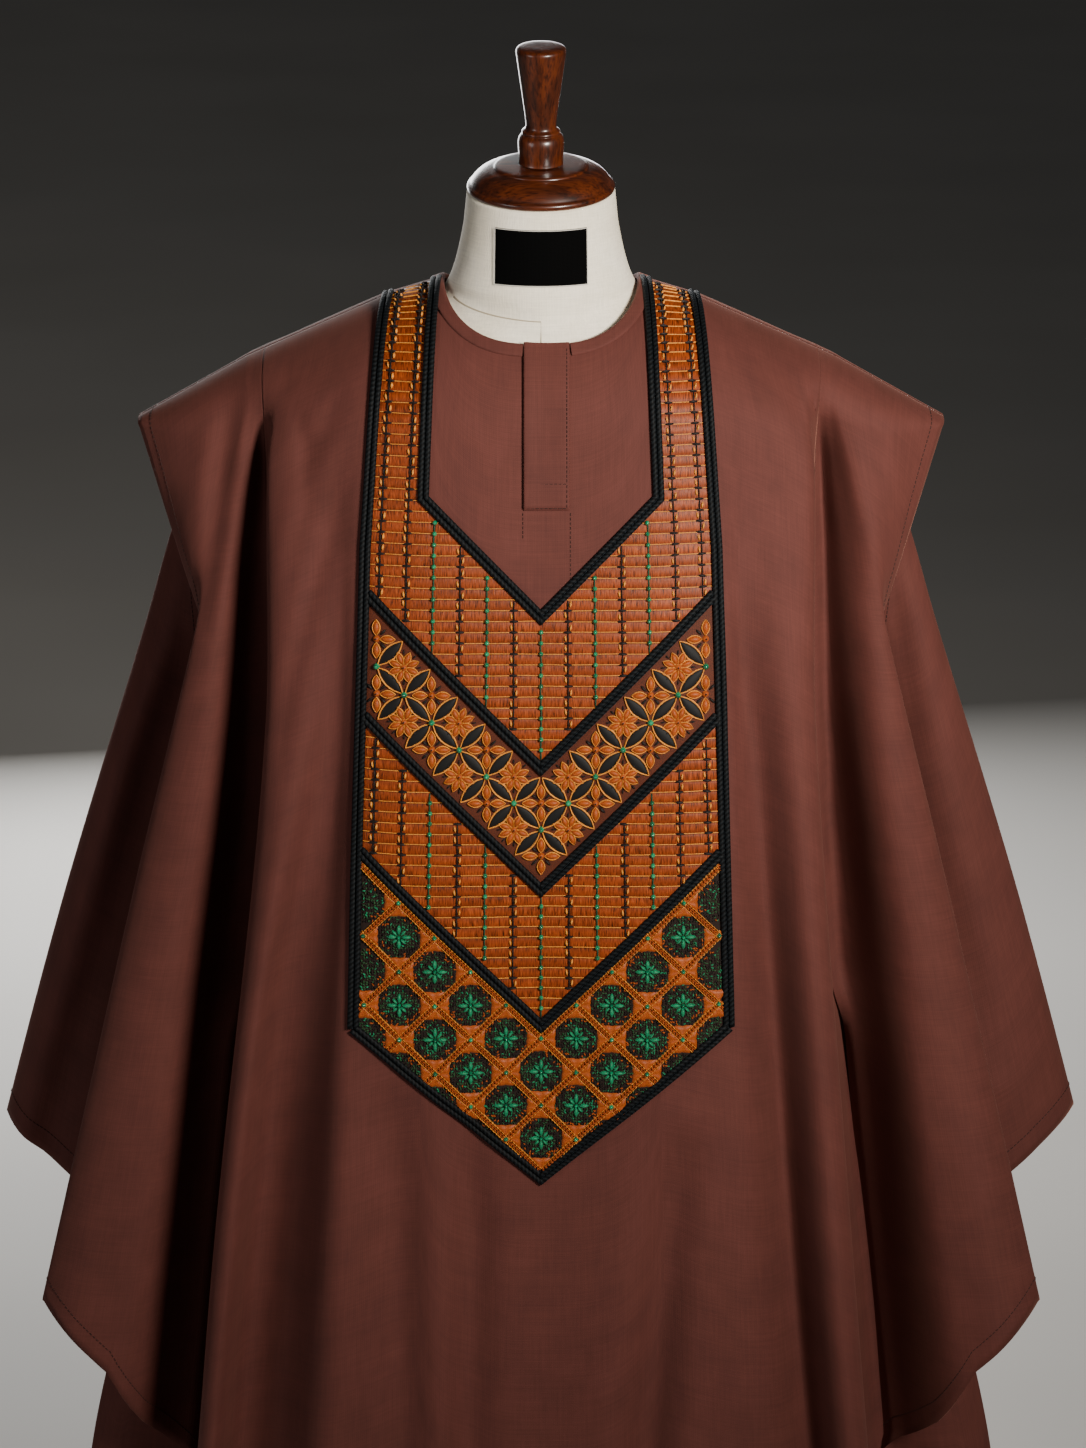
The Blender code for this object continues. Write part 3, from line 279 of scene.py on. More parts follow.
class Layer:
    """One hanging layer of cloth: its fold lines from left to right, and the points on it."""

    def __init__(self, lines, facing, guides=(0, 0)):
        self.lines = lines            # (fold, side) from left to right
        self.facing = facing          # -1 hangs to the front of the shoulder seam, 1 to the back
        self.columns = []             # fold-line position of each fine column
        for i, ((fold, side), (after, _)) in enumerate(zip(lines, lines[1:])):
            inner = fold if side > 0 else after
            steps = inner.steps * FINE
            shares = np.arange(steps) / steps
            if inner.name == "centre":        # closer columns where the neckline turns
                shares = np.sin(shares * math.pi / 2) if side > 0 else 1 - np.cos(shares * math.pi / 2)
            self.columns += list(i + shares)
        self.columns.append(len(lines) - 1.0)
        # the outermost lines may only be guides, which lead the cloth smoothly across a seam
        self.columns = [s for s in self.columns if guides[0] <= s <= len(lines) - 1 - guides[1]]

    def mix(self, s, value):
        i = min(int(s), len(self.lines) - 2)
        a, b = value(*self.lines[i]), value(*self.lines[i + 1])
        return a + (b - a) * (s - i)

    def hem(self, s, hems):
        """Height of the lower edge, straight from line to line as seen from the front."""
        i = min(int(s), len(self.lines) - 2)
        low = np.array([LEVEL_CUT_Z])
        a, b = self.fold_plan(i, low)[0, 0], self.fold_plan(i + 1, low)[0, 0]
        share = (self.plan(s, low)[0, 0] - a) / (b - a) if abs(b - a) > 1e-4 else s - i
        ends = [hems.get(self.lines[k][0].name, ARMHOLE_Z) for k in (i, i + 1)]
        return ends[0] + (ends[1] - ends[0]) * min(max(share, 0.0), 1.0)

    def shoulder_x(self, s):
        return self.mix(s, lambda fold, side: fold.shoulder * side)

    def turn(self, s):
        return self.mix(s, lambda fold, side: fold.turn)

    def fold_plan(self, k, z):
        """Plan positions of fold line k at heights z."""
        fold, side = self.lines[k]
        place = along(np.array(fold.path[::-1]), z)
        if side < 0:
            shift = LEFT_SHIFT.get(fold.name, 0.0)
            share = (LEFT_SHIFT_TOP_Z - z) / (LEFT_SHIFT_TOP_Z - LEFT_SHIFT_LOW_Z)
            place[:, 0] = -place[:, 0] - shift * ease(share)
        return place

    def plan(self, s, z):
        i = min(int(s), len(self.lines) - 2)
        near = {k: self.fold_plan(k, z) for k in range(max(i - 1, 0), min(i + 3, len(self.lines)))}
        chord = np.linalg.norm(near[i + 1] - near[i], axis=1, keepdims=True)
        ways = [unit(near.get(k + 1, near[k]) - near.get(k - 1, near[k])) * chord for k in (i, i + 1)]
        return blend_curve(near[i], near[i + 1], *ways, s - i)

    def points(self, s, z):
        """Points of the cloth at position s and heights z (an array), past the level strip."""
        x_top = self.shoulder_x(s)
        z_top = shoulder_height(x_top)
        share = np.clip((z_top - z) / self.turn(s), 0.0, 1.0)
        plan = self.plan(s, z)
        offset = SEAM_FLAT + (np.abs(plan[:, 1] - SEAM_Y) - SEAM_FLAT) * np.sqrt(1 - (1 - share) ** 2)
        x = x_top + (plan[:, 0] - x_top) * ease(share)
        return np.stack([x, SEAM_Y + self.facing * offset, z], axis=1)

    def seam_points(self, s):
        """The level strip's two points at the shoulder seam."""
        x_top = self.shoulder_x(s)
        z_top = shoulder_height(x_top)
        return np.array([(x_top, SEAM_Y + self.facing * flat, z_top) for flat in (SEAM_GAP / 2, SEAM_FLAT)])

    def heights(self, s, hem, begin, rows):
        """Heights down one column: round the turn from angle `begin`, then evenly to the hem."""
        z_top, turn = shoulder_height(self.shoulder_x(s)), self.turn(s)
        angles = begin + (math.pi / 2 - begin) * np.arange(1, TURN_ROWS + 1) / TURN_ROWS
        low = z_top - turn
        return np.concatenate([z_top - turn * (1 - np.cos(angles)),
                               low + (hem - low) * np.arange(1, rows + 1) / rows])

    def neckline_angle(self, s, depth):
        """Angle round the turn at which the neckline crosses this column."""
        x = self.shoulder_x(s)
        offset = depth * max(1 - abs(x / NECK_HALF) ** NECK_ROUND, 0.0) ** (1 / NECK_ROUND)
        z_top = shoulder_height(x)
        angle = 0.0
        for _ in range(12):
            z = z_top - self.turn(s) * (1 - math.cos(angle))
            reach = abs(self.plan(s, np.array([z]))[0, 1] - SEAM_Y) - SEAM_FLAT
            angle = math.asin(min(max((offset - SEAM_FLAT) / reach, 0.0), 0.999))
        return angle


def mirrored_lines(folds):
    """Fold lines of a whole panel, left side seam to right side seam."""
    return [(fold, -1) for fold in reversed(folds[1:])] + [(fold, 1) for fold in folds]


def body_grid(layer, neck_depth):
    """Points of a body panel, column by column, neckline or shoulder seam to hem."""
    grid = []
    for s in layer.columns:
        x, turn = layer.shoulder_x(s), layer.turn(s)
        first, begin = layer.seam_points(s), 0.0
        if abs(x) < NECK_HALF - 1e-6:
            angles = layer.neckline_angle(s, neck_depth) + np.array([0.0, NECK_EDGE])
            first, begin = layer.points(s, shoulder_height(x) - turn * (1 - np.cos(angles))), angles[1]
        grid.append(np.concatenate([first, layer.points(s, layer.heights(s, HEM_Z, begin, BODY_ROWS))]))
    return np.array(grid[::-layer.facing])    # the columns run left to right as seen from outside


def sleeve_grid(layer, hems, side):
    """Points of a sleeve layer, shoulder seam to its slanted lower edge."""
    grid = []
    for s in layer.columns:
        heights = layer.heights(s, layer.hem(s, hems), 0.0, SLEEVE_ROWS)
        grid.append(np.concatenate([layer.seam_points(s), layer.points(s, heights)]))
    grid = np.array(grid)
    inner = grid if side > 0 else grid[::-1]
    for k in range(2 * FINE):                 # these columns swing clear below the armhole
        fade = 1.0 if k <= FINE else 1 - (k - FINE) / FINE
        clear = SLEEVE_CLEAR * ease((ARMHOLE_Z + 0.01 - inner[k, :, 2]) / CLEAR_TALL) * fade
        inner[k, :, 0] += side * clear
        inner[k, :, 1] += layer.facing * clear * 1.5
    return grid[::-layer.facing]


def grid_normals(grid):
    """Outward normals of a grid of points, columns left to right and rows top to bottom."""
    return unit(np.cross(np.gradient(grid, axis=1), np.gradient(grid, axis=0)))


def grid_uv(grid):
    """Cut-cloth coordinates in metres: across from the middle row, down along each column."""
    across = run_along(grid[:, grid.shape[1] // 2])
    down = np.array([run_along(column) for column in grid])
    return np.stack([np.broadcast_to(across[:, None], down.shape), -down], axis=2)


def in_scene(name, data):
    """Object of a mesh, a lens or a lamp, put into the scene."""
    thing = bpy.data.objects.new(name, data)
    bpy.context.scene.collection.objects.link(thing)
    return thing


def grid_mesh(bm, columns, rows, place, cut=None):
    """Add a grid to bm, its vertices at place(i, j), i from the left and j from the top; cut(i, j) is
    the UV, the place on the cut cloth. Gives each vertex's (i, j)."""
    uv = cut and (bm.loops.layers.uv.get("cut") or bm.loops.layers.uv.new("cut"))
    made = bmesh.ops.create_grid(bm, x_segments=columns - 1, y_segments=rows - 1, size=0.5)["verts"]
    cells = {}
    for vert in made:
        cells[vert] = (round((vert.co.x + 0.5) * (columns - 1)), round((0.5 - vert.co.y) * (rows - 1)))
        vert.co = place(*cells[vert])
    for face in {face for vert in made for face in vert.link_faces} if cut else ():
        for loop in face.loops:
            loop[uv].uv = cut(*cells[loop.vert])
    return cells


def sheet_mesh(name, grid, flank=0):
    """Mesh object of a grid; its outer `flank` columns on each side begin below the armhole."""
    bm, uv = bmesh.new(), grid_uv(grid)
    columns, rows = grid.shape[:2]
    cells = grid_mesh(bm, columns, rows, lambda i, j: grid[i, j], lambda i, j: uv[i, j])
    outer = {vert for vert, (i, _) in cells.items() if min(i, columns - 1 - i) < flank}
    gone = [face for face in bm.faces
            if not outer.isdisjoint(face.verts) and face.calc_center_median().z >= ARMHOLE_Z]
    bmesh.ops.delete(bm, geom=gone, context="FACES")
    return to_object(name, bm)


def to_object(name, bm):
    """Smooth-shaded object of a finished bmesh."""
    mesh = bpy.data.meshes.new(name)
    bm.to_mesh(mesh)
    bm.free()
    mesh.shade_smooth()
    return in_scene(name, mesh)


def thicken(sheet):
    """The modelled sheet is the cloth's outer face; its thickness lies behind it."""
    wall = sheet.modifiers.new("cloth", "SOLIDIFY")
    wall.thickness = CLOTH
    wall.offset = -1.0
    wall.use_even_offset = False


# ---------------------------------------------------------------- creases, listed one by one
# All in mm. wide: how far a crease reaches to the left and to the right of its line, as seen from the
# front; path: (x, z, depth) places, pressed in from the front or the back, a ridge where below 0.
Crease = namedtuple("Crease", "wide path")

RIGHT_VALLEY = Crease((6, 30), ((230, 1422, 0), (235, 1397, 9), (238, 1355, 20), (243, 1268, 25),
                                (247, 1145, 27), (257, 960, 26), (268, 828, 25), (283, 677, 22),
                                (304, 440, 18), (327, 140, 19)))

CREASES = {
    "front_body": (
        # folds beside the bib
        Crease((14, 38), ((-164, 1222, 0), (-185, 1094, 11), (-218, 928, 26), (-241, 731, 43),
                          (-264, 502, 50), (-294, 140, 54))),
        Crease((22, 26), ((-165, 1044, 0), (-176, 927, -9), (-183, 731, -15), (-194, 501, -16),
                          (-205, 140, -17))),
        Crease((14, 22), ((165, 1255, 0), (176, 1167, 8), (184, 1120, 12), (203, 872, 24), (223, 615, 30),
                          (274, 140, 33))),
        RIGHT_VALLEY,
        # small dents below the shoulders
        Crease((10, 10), ((-168, 1360, 0), (-177, 1303, 3), (-189, 1271, 4), (-213, 1168, 4),
                          (-220, 1086, 0))),
        Crease((8, 10), ((-209, 1417, 0), (-201, 1392, 3), (-197, 1360, 3), (-206, 1312, 0))),
        Crease((10, 10), ((-164, 1429, 0), (-180, 1394, 3), (-193, 1364, 2), (-204, 1321, 0))),
        Crease((10, 10), ((-155, 1403, 0), (-185, 1365, -3), (-206, 1337, -3), (-222, 1280, -2),
                          (-223, 1237, 0))),
        Crease((7, 7), ((211, 1432, 0), (215, 1416, 2), (217, 1390, 0))),
        # folds that begin below the bib
        Crease((20, 22), ((-127, 854, 0), (-122, 756, 10), (-121, 629, 14), (-109, 140, 16))),
        Crease((18, 20), ((-64, 837, 0), (-61, 738, 12), (-61, 629, 14), (-72, 140, 16))),
        Crease((24, 20), ((127, 810, 0), (114, 739, 12), (104, 630, 18), (94, 512, 21), (66, 140, 23)))),
    "back_body": (
        Crease((24, 17), ((-150, 1400, 0), (-158, 1250, 7), (-176, 950, 17), (-205, 600, 25),
                          (-232, 320, 29), (-246, 40, 29))),
        Crease((18, 26), ((-62, 1300, 0), (-60, 1120, 6), (-68, 850, 14), (-80, 520, 19), (-90, 40, 21))),
        Crease((22, 18), ((28, 1220, 0), (22, 1000, 6), (16, 700, 13), (20, 360, 18), (23, 40, 18))),
        Crease((16, 26), ((112, 1360, 0), (118, 1200, 8), (130, 920, 17), (148, 560, 24), (162, 40, 27))),
        Crease((20, 22), ((-105, 1280, 0), (-112, 1050, -4), (-128, 700, -9), (-146, 300, -12),
                          (-152, 40, -12))),
        Crease((24, 18), ((70, 1240, 0), (72, 1020, -4), (82, 660, -8), (90, 300, -10), (94, 40, -10))),
        Crease((12, 12), ((190, 1400, 0), (186, 1300, 4), (196, 1160, 5), (212, 1020, 0))),
        Crease((14, 12), ((-118, 1420, 0), (-96, 1340, 3), (-85, 1260, 2), (-80, 1180, 0)))),
    "sleeve_front_right": (
        Crease((16, 14), ((263, 1414, 0), (276, 1383, 3), (285, 1340, 3), (291, 1297, 0))),
        RIGHT_VALLEY,
        Crease((20, 22), ((263, 868, 0), (271, 794, 14), (282, 681, 22), (294, 566, 24), (306, 442, 22))),
        Crease((26, 20), ((322, 960, 0), (352, 800, 3), (372, 660, 5), (388, 520, 6)))),
    "sleeve_front_left": (
        Crease((13, 12), ((-256, 1423, 0), (-262, 1392, 8), (-270, 1342, 15), (-279, 1282, 14),
                          (-289, 1231, 6), (-295, 1199, 0))),
        Crease((14, 12), ((-267, 1417, 0), (-284, 1390, 3), (-297, 1364, 3), (-304, 1328, 0))),
        Crease((14, 12), ((-248, 1350, 0), (-250, 1307, 8), (-253, 1237, 14), (-262, 1111, 16),
                          (-271, 1015, 14), (-297, 832, 6), (-309, 740, 0))),
        Crease((22, 28), ((-330, 920, 0), (-352, 800, 4), (-376, 660, 6), (-398, 520, 6)))),
    "sleeve_back_right": (
        Crease((34, 28), ((287, 1231, -12), (292, 1175, -26), (309, 1079, -28), (317, 1037, -24),
                          (340, 953, -18), (378, 838, -10), (408, 749, 0))),
        Crease((12, 10), ((256, 1410, 0), (268, 1350, 6), (284, 1270, 9), (302, 1170, 6), (322, 1050, 0)))),
    "sleeve_back_left": (
        Crease((26, 22), ((-298, 1271, 0), (-321, 1196, 10), (-344, 1140, 20), (-365, 1082, 26),
                          (-395, 976, 28), (-451, 778, 26), (-476, 681, 22))),
        Crease((10, 12), ((-254, 1410, 0), (-264, 1360, 8), (-278, 1290, 10), (-296, 1200, 5),
                          (-306, 1140, 0))),
        Crease((30, 28), ((-345, 1050, 0), (-372, 920, 6), (-398, 780, 9), (-420, 640, 9), (-432, 550, 8)))),
}


def crease_depth(grid, crease):
    """How deep a crease presses each point of a grid."""
    rows = np.array(crease.path) / 1000
    line = along(np.column_stack([np.arange(len(rows)), rows]), np.linspace(0, len(rows) - 1, 6 * len(rows)))
    flat = grid[:, :, (0, 2)]
    nearest = np.full(grid.shape[:2], 9.0)
    depth = np.zeros(grid.shape[:2])
    for a, b in zip(line, line[1:]):
        way = b[:2] - a[:2]
        t = np.clip(((flat - a[:2]) @ way) / (way @ way), 0, 1)
        off = flat - (a[:2] + t[..., None] * way)
        reach = np.where(off[..., 0] < 0, crease.wide[0], crease.wide[1]) / 1000
        far = np.linalg.norm(off, axis=2) / reach
        depth = np.where(far < nearest, a[2] + (b[2] - a[2]) * t, depth)
        nearest = np.minimum(nearest, far)
    return depth * np.exp(-nearest ** 2)


def creased(panel, grid, facing):
    """The grid with its creases pressed in."""
    grid = grid.copy()
    grid[..., 1] -= facing * sum(crease_depth(grid, crease) for crease in CREASES[panel])
    return grid


# ---------------------------------------------------------------- flat work, laid on a panel
# Flat places are (x, lift, h): x to the right as seen from outside, lift off the cloth, h up along
# the cloth, which is the height above the floor up to the turn at the shoulder and a length past it.
FLAT_HALF = 0.200
FLAT_LOW = 0.73
FLAT_HIGH = 1.60
FLAT_STEP = 0.004
GROUND_SHOULDER = 0.216    # the ground's columns start this near the neck on the shoulder seam


def turn_arc(layer, s):
    """Foot of the turn in this column, and the cloth's length round it."""
    turn = layer.turn(s)
    low = shoulder_height(layer.shoulder_x(s)) - turn
    reach = abs(layer.plan(s, np.array([low]))[0, 1] - SEAM_Y) - SEAM_FLAT
    return low, math.pi / 2 * math.sqrt((reach ** 2 + turn ** 2) / 2)


class Ground:
    """A panel as the ground for flat work."""

    def __init__(self, layer, panel):
        self.h = np.arange(FLAT_HIGH, FLAT_LOW, -FLAT_STEP)
        self.x = np.arange(-FLAT_HALF, FLAT_HALF + FLAT_STEP / 2, FLAT_STEP)
        self.facing = layer.facing
        inner = [s for s in layer.columns if abs(layer.shoulder_x(s)) < GROUND_SHOULDER]
        lines = np.array([self.column(layer, s) for s in inner])[::-layer.facing]
        lines = creased(panel, lines, layer.facing)
        self.seam = np.array([(layer.shoulder_x(s), sum(turn_arc(layer, s))) for s in inner])
        self.place = np.empty((len(self.x), len(self.h), 3))
        for j in range(len(self.h)):
            row = lines[np.argsort(lines[:, j, 0]), j]
            self.place[:, j] = at_run(-self.facing * self.x, row[:, 0], row)
        self.normal = grid_normals(self.place)

    def column(self, layer, s):
        low, arc = turn_arc(layer, s)
        z_top, turn = low + layer.turn(s), layer.turn(s)
        angle = math.pi / 2 * np.clip(1 - (self.h - low) / arc, 0.0, 1.0)
        points = layer.points(s, np.where(self.h < low, self.h, z_top - turn * (1 - np.cos(angle))))
        level = np.clip(self.h - low - arc, 0.0, SEAM_FLAT - SEAM_GAP / 2)
        points[:, 1] -= layer.facing * level
        return points

    def seam_h(self, x):
        """How far up the cloth goes at x: the shoulder seam."""
        return float(np.interp(abs(x), self.seam[:, 0], self.seam[:, 1])) + SEAM_FLAT - SEAM_GAP

    def lay(self, flat):
        """Places on the panel of flat work, an array of (x, lift, h)."""
        flat = np.asarray(flat, dtype=float)
        across = np.clip((flat[..., 0] - self.x[0]) / FLAT_STEP, 0, len(self.x) - 1.001)
        down = np.clip((self.h[0] - flat[..., 2]) / FLAT_STEP, 0, len(self.h) - 1.001)
        i, j = across.astype(int), down.astype(int)
        u, v = (across - i)[..., None], (down - j)[..., None]

        def blend(table):
            near = table[i, j] * (1 - v) + table[i, j + 1] * v
            far = table[i + 1, j] * (1 - v) + table[i + 1, j + 1] * v
            return near * (1 - u) + far * u
        return blend(self.place) + unit(blend(self.normal)) * flat[..., 1:2]


def lay_mesh(ground, bm):
    """Lay a flat bmesh on the panel; its flat places in metres stay as its UV map."""
    uv = bm.loops.layers.uv.get("cut") or bm.loops.layers.uv.new("cut")
    for face in bm.faces:
        for loop in face.loops:
            loop[uv].uv = (loop.vert.co.x, loop.vert.co.z)
    laid = ground.lay([vert.co for vert in bm.verts])
    for vert, place in zip(bm.verts, laid):
        vert.co = place


def level_hits(outline, h):
    """Where a level line crosses an outline of (x, h) corners, from left to right."""
    return sorted(x0 + (x1 - x0) * (h - h0) / (h1 - h0)
                  for (x0, h0), (x1, h1) in zip(outline, outline[1:] + outline[:1])
                  if (h0 > h) != (h1 > h))


def point_in(outline, x, h):
    return sum(x < hit for hit in level_hits(outline, h)) % 2 == 1


def extent(outline):
    """Left, right, lowest and highest of an outline."""
    xs, hs = zip(*outline)
    return min(xs), max(xs), min(hs), max(hs)


def flat_grid(outline, step_x, step_h):
    """Flat sheet of small faces, cut to an outline."""
    left, right, low, high = extent(outline)
    left, low = math.floor(left / step_x) * step_x, math.floor(low / step_h) * step_h
    columns, rows = math.ceil((right - left) / step_x), math.ceil((high - low) / step_h)
    bm = bmesh.new()
    bmesh.ops.create_grid(bm, x_segments=columns, y_segments=rows, size=0.5)
    for vert in bm.verts:
        vert.co = (left + (vert.co.x + 0.5) * columns * step_x, 0.0, low + (vert.co.y + 0.5) * rows * step_h)
    for (x0, h0), (x1, h1) in zip(outline, outline[1:] + outline[:1]):
        left, right, low, high = extent([(x0, h0), (x1, h1)])
        near = []
        for face in bm.faces:
            x_low, x_high, h_low, h_high = extent([(vert.co.x, vert.co.z) for vert in face.verts])
            if (x_high >= left - step_x and x_low <= right + step_x
                    and h_high >= low - step_h and h_low <= high + step_h):
                near.append(face)
        geom = near + list({e for f in near for e in f.edges}) + list({v for f in near for v in f.verts})
        normal = Vector((h1 - h0, 0, x0 - x1)).normalized()
        bmesh.ops.bisect_plane(bm, geom=geom, plane_co=(x0, 0, h0), plane_no=normal, dist=1e-6)
    middles = [(face, face.calc_center_median()) for face in bm.faces]
    gone = [face for face, middle in middles if not point_in(outline, middle.x, middle.z)]
    bmesh.ops.delete(bm, geom=gone, context="FACES")
    return bm


# ---------------------------------------------------------------- stitches, cords and beads
CORD_STEP = 0.0025
DASH = (0.0024, 0.0007, 0.0006)               # a machine stitch: long, wide, tall
DASH_PITCH = 0.0037
SEAM_STITCH = (0.0026, 0.0014, 0.0008, 0.0006, 0.00005)      # long, gap, wide, tall, clear of the cloth


# A small shape is its places and its faces. A place is (along, off the cloth, across), a unit long.
def taken(bm, place):
    """The small shape that a bmesh becomes when place() moves its vertices."""
    bm.verts.index_update()
    places = np.array([place(*vert.co) for vert in bm.verts])
    faces = [[vert.index for vert in face.verts] for face in bm.faces]
    bm.free()
    return places, faces


def taken_grid(columns, rows, place):
    bm = bmesh.new()
    bmesh.ops.create_grid(bm, x_segments=columns, y_segments=rows, size=0.5)
    return taken(bm, place)


def dome(around, rings):
    """Half of a small ball, its flat side down."""
    bm = bmesh.new()
    bmesh.ops.create_uvsphere(bm, u_segments=around, v_segments=rings * 2, radius=0.5)
    bmesh.ops.bisect_plane(bm, geom=bm.verts[:] + bm.edges[:] + bm.faces[:], plane_co=(0, 0, 0),
                           plane_no=(0, 0, -1), clear_outer=True, dist=1e-6)
    return taken(bm, lambda x, y, z: (x, z * 2, y))


def pointed(around, rings):
    """The same, drawn to a point at both ends, like a leaf or a petal."""
    places, faces = dome(around, rings)
    places[:, 2] *= np.sqrt(np.maximum(1 - 4 * places[:, 0] ** 2, 0.0))
    return places, faces


def corner_pad():
    """A three-cornered satin pad, its point at x = 0.5, with a groove down its middle."""
    def place(x, y, z):
        rim = min(0.5 - abs(x), (1 - abs(y * 2)) / 2) * 6
        tall = 0.15 + 0.85 * min(rim, 1.0) - 0.45 * math.exp(-(y * 2 / 0.16) ** 2) * (0.5 - x)
        return x, tall, y * (0.54 - x)
    return taken_grid(6, 8, place)


def leaf_edge():
    """The thread that outlines a pointed leaf."""
    def place(x, y, z):
        turn = (x + 0.5) * 2 * math.pi
        wide = math.sin(turn) * abs(math.sin(turn)) / 2
        return (math.cos(turn) / 2 * (1 + 0.08 * y), 0.25 + math.sin((y + 0.5) * math.pi),
                wide * (1 + 0.20 * y) + 0.05 * y * math.sin(turn))
    places, faces = taken_grid(20, 3, place)
    return places, [face[::-1] for face in faces]


def strip(steps, sides):
    """A thread, half round, its flat side down."""
    return taken_grid(steps, sides, lambda x, y, z: (x, math.cos(y * math.pi), math.sin(y * math.pi) / 2))


def copies_mesh(name, places, shape_faces, flat=None):
    """Mesh object of many copies of a small shape, from a table of (copy, point) places."""
    size = places.shape[1]
    faces = [[i + k * size for i in face] for k in range(len(places)) for face in shape_faces]
    mesh = bpy.data.meshes.new(name)
    mesh.from_pydata(places.reshape(-1, 3), [], faces)
    if flat is not None:
        uv = mesh.uv_layers.new(name="cut")
        corners = np.empty(len(mesh.loops), dtype=np.int32)
        mesh.loops.foreach_get("vertex_index", corners)
        uv.data.foreach_set("uv", flat.reshape(-1, 3)[corners][:, (0, 2)].ravel())
    mesh.shade_smooth()
    return in_scene(name, mesh)


def repeated(name, shape, spots, ground, lift=0.0):
    """One mesh of many copies of a small shape on a panel, `lift` off it.

    A spot is (x, h, angle, length, width, height); its length lies along x at angle 0.
    """
    places, faces = shape
    x, h, angle, *sizes = np.array(spots).T[..., None]
    along_it, across_it = places[:, 0] * sizes[0], places[:, 2] * sizes[1]
    flat = np.stack([x + along_it * np.cos(angle) - across_it * np.sin(angle), places[:, 1] * sizes[2] + lift,
                     h + along_it * np.sin(angle) + across_it * np.cos(angle)], axis=2)
    return copies_mesh(name, ground.lay(flat), faces, flat)


def path_steps(path, step):
    """Even steps along a path of (x, h) corners, the corners kept: places and headings."""
    path = [np.array(p, dtype=float) for p in path]
    places = []
    for a, b in zip(path, path[1:]):
        count = max(1, round(np.linalg.norm(b - a) / step))
        places += [a + (b - a) * k / count for k in range(count)]
    places = np.array(places + [path[-1]])
    return places, unit(np.gradient(places, axis=0))


def cord_strand(bm, path, radius, shift, ground):
    """A round cord along a flat path, `shift` to its left; UV: length along it and share round it."""
    sides = 8
    places, ways = path_steps(path, CORD_STEP)
    left = np.stack([-ways[:, 1], ways[:, 0]], axis=1)
    chords = unit(np.diff(places, axis=0))
    swing = np.ones(len(places))                         # mitre at the corners
    swing[1:-1] = 1 / np.maximum(np.sqrt((1 + np.sum(chords[1:] * chords[:-1], axis=1)) / 2), 0.5)
    left = left * swing[:, None]
    middle = places + left * shift
    run, shares = run_along(middle), 1 - np.arange(sides + 1) / sides
    angles = (2 * shares - 0.5) * math.pi
    ring = middle[:, None] - left[:, None] * radius * np.cos(angles)[:, None]
    lift = np.broadcast_to(radius * (0.92 + np.sin(angles)), ring.shape[:2])
    laid = ground.lay(np.stack([ring[..., 0], lift, ring[..., 1]], axis=2))
    cells = grid_mesh(bm, len(places), sides + 1, lambda i, j: laid[i, j], lambda i, j: (run[i], shares[j]))
    bmesh.ops.remove_doubles(bm, verts=list(cells), dist=1e-6)
    bmesh.ops.holes_fill(bm, edges=[edge for edge in bm.edges if edge.is_boundary], sides=sides)


def double_cord(name, path, ground):
    """Two strands laid side by side along a path."""
    bm = bmesh.new()
    radius = CORD_WIDE / 4
    for apart in (-1.02, 1.02):               # the strands touch without sharing an edge
        cord_strand(bm, path, radius, apart * radius, ground)
    bmesh.ops.recalc_face_normals(bm, faces=bm.faces[:])
    return to_object(name, bm)


# ---------------------------------------------------------------- the bib, worked flat
ROW = 0.0090               # height of a satin row
COLUMN = 0.0223            # from one column of stitches to the next, at the chest
CORD_OVER = 0.0018         # how far a field reaches in under a cord
FIELD_INSET = CORD_WIDE - CORD_OVER
BEAD_COLUMNS = (0, 2, 4)   # counted from the centre; the others are chain stitches
STITCH_ROOM = 0.0045       # a column's stitch keeps this clear of the field's edge
SHORTEST_ROW = 0.002
CELL = 0.0600              # net of the pointed field, corner to corner, upright
KNOT_PITCH = 0.0023        # between the short stitches of a medallion
CORD_TALL = CORD_WIDE * math.sqrt(1 + CHEVRON_RISE ** 2)
POINT_RISE = (BIB_LOW_Z - BIB_POINT_Z) / BIB_LOW_HALF
POINT_TALL = CORD_WIDE * math.sqrt(1 + POINT_RISE ** 2)
INNER_RISE = (INNER_LOW_Z - INNER_POINT_Z) / INNER_LOW_HALF
INNER_TALL = CORD_WIDE * math.sqrt(1 + INNER_RISE ** 2)
SEAM_H = 1.566             # the shoulder seam on the flat bib


def outer_half(h, inset=0.0):
    """Half width of the bib at h."""
    places = ((BIB_LOW_Z, BIB_LOW_HALF), (BIB_CHEST_Z, BIB_CHEST_HALF), (SEAM_H, BIB_TOP_HALF))
    low, high = (places[0], places[1]) if h < BIB_CHEST_Z else (places[1], places[2])
    return low[1] + (high[1] - low[1]) * (h - low[0]) / (high[0] - low[0]) - inset


def strap_inner(h, inset=0.0):
    """Inner edge of a shoulder strap at h."""
    share = (h - INNER_LOW_Z) / (SEAM_H - INNER_LOW_Z)
    return INNER_LOW_HALF + (INNER_TOP_HALF - INNER_LOW_HALF) * share + inset


def mirror_outline(right):
    """Close a right half outline, listed from the centre round to the centre."""
    return right + [(-x, h) for x, h in reversed(right) if x > 1e-9]


def chevron_end(h_centre, inset):
    """Where a line that rises from the centre meets the bib's side."""
    x = BIB_CHEST_HALF - inset
    for _ in range(8):
        x = outer_half(h_centre + CHEVRON_RISE * x, inset)
    return (x, h_centre + CHEVRON_RISE * x)


def chevron_band(h_centre, h_below):
    """V-shaped field between two lines that cross the centre at these places."""
    upper, lower = chevron_end(h_centre, FIELD_INSET), chevron_end(h_below, FIELD_INSET)
    right = [(0.0, h_below), lower, upper, (0.0, h_centre)]
    if lower[1] < BIB_CHEST_Z < upper[1]:
        right.insert(2, (outer_half(BIB_CHEST_Z, FIELD_INSET), BIB_CHEST_Z))
    return mirror_outline(right)


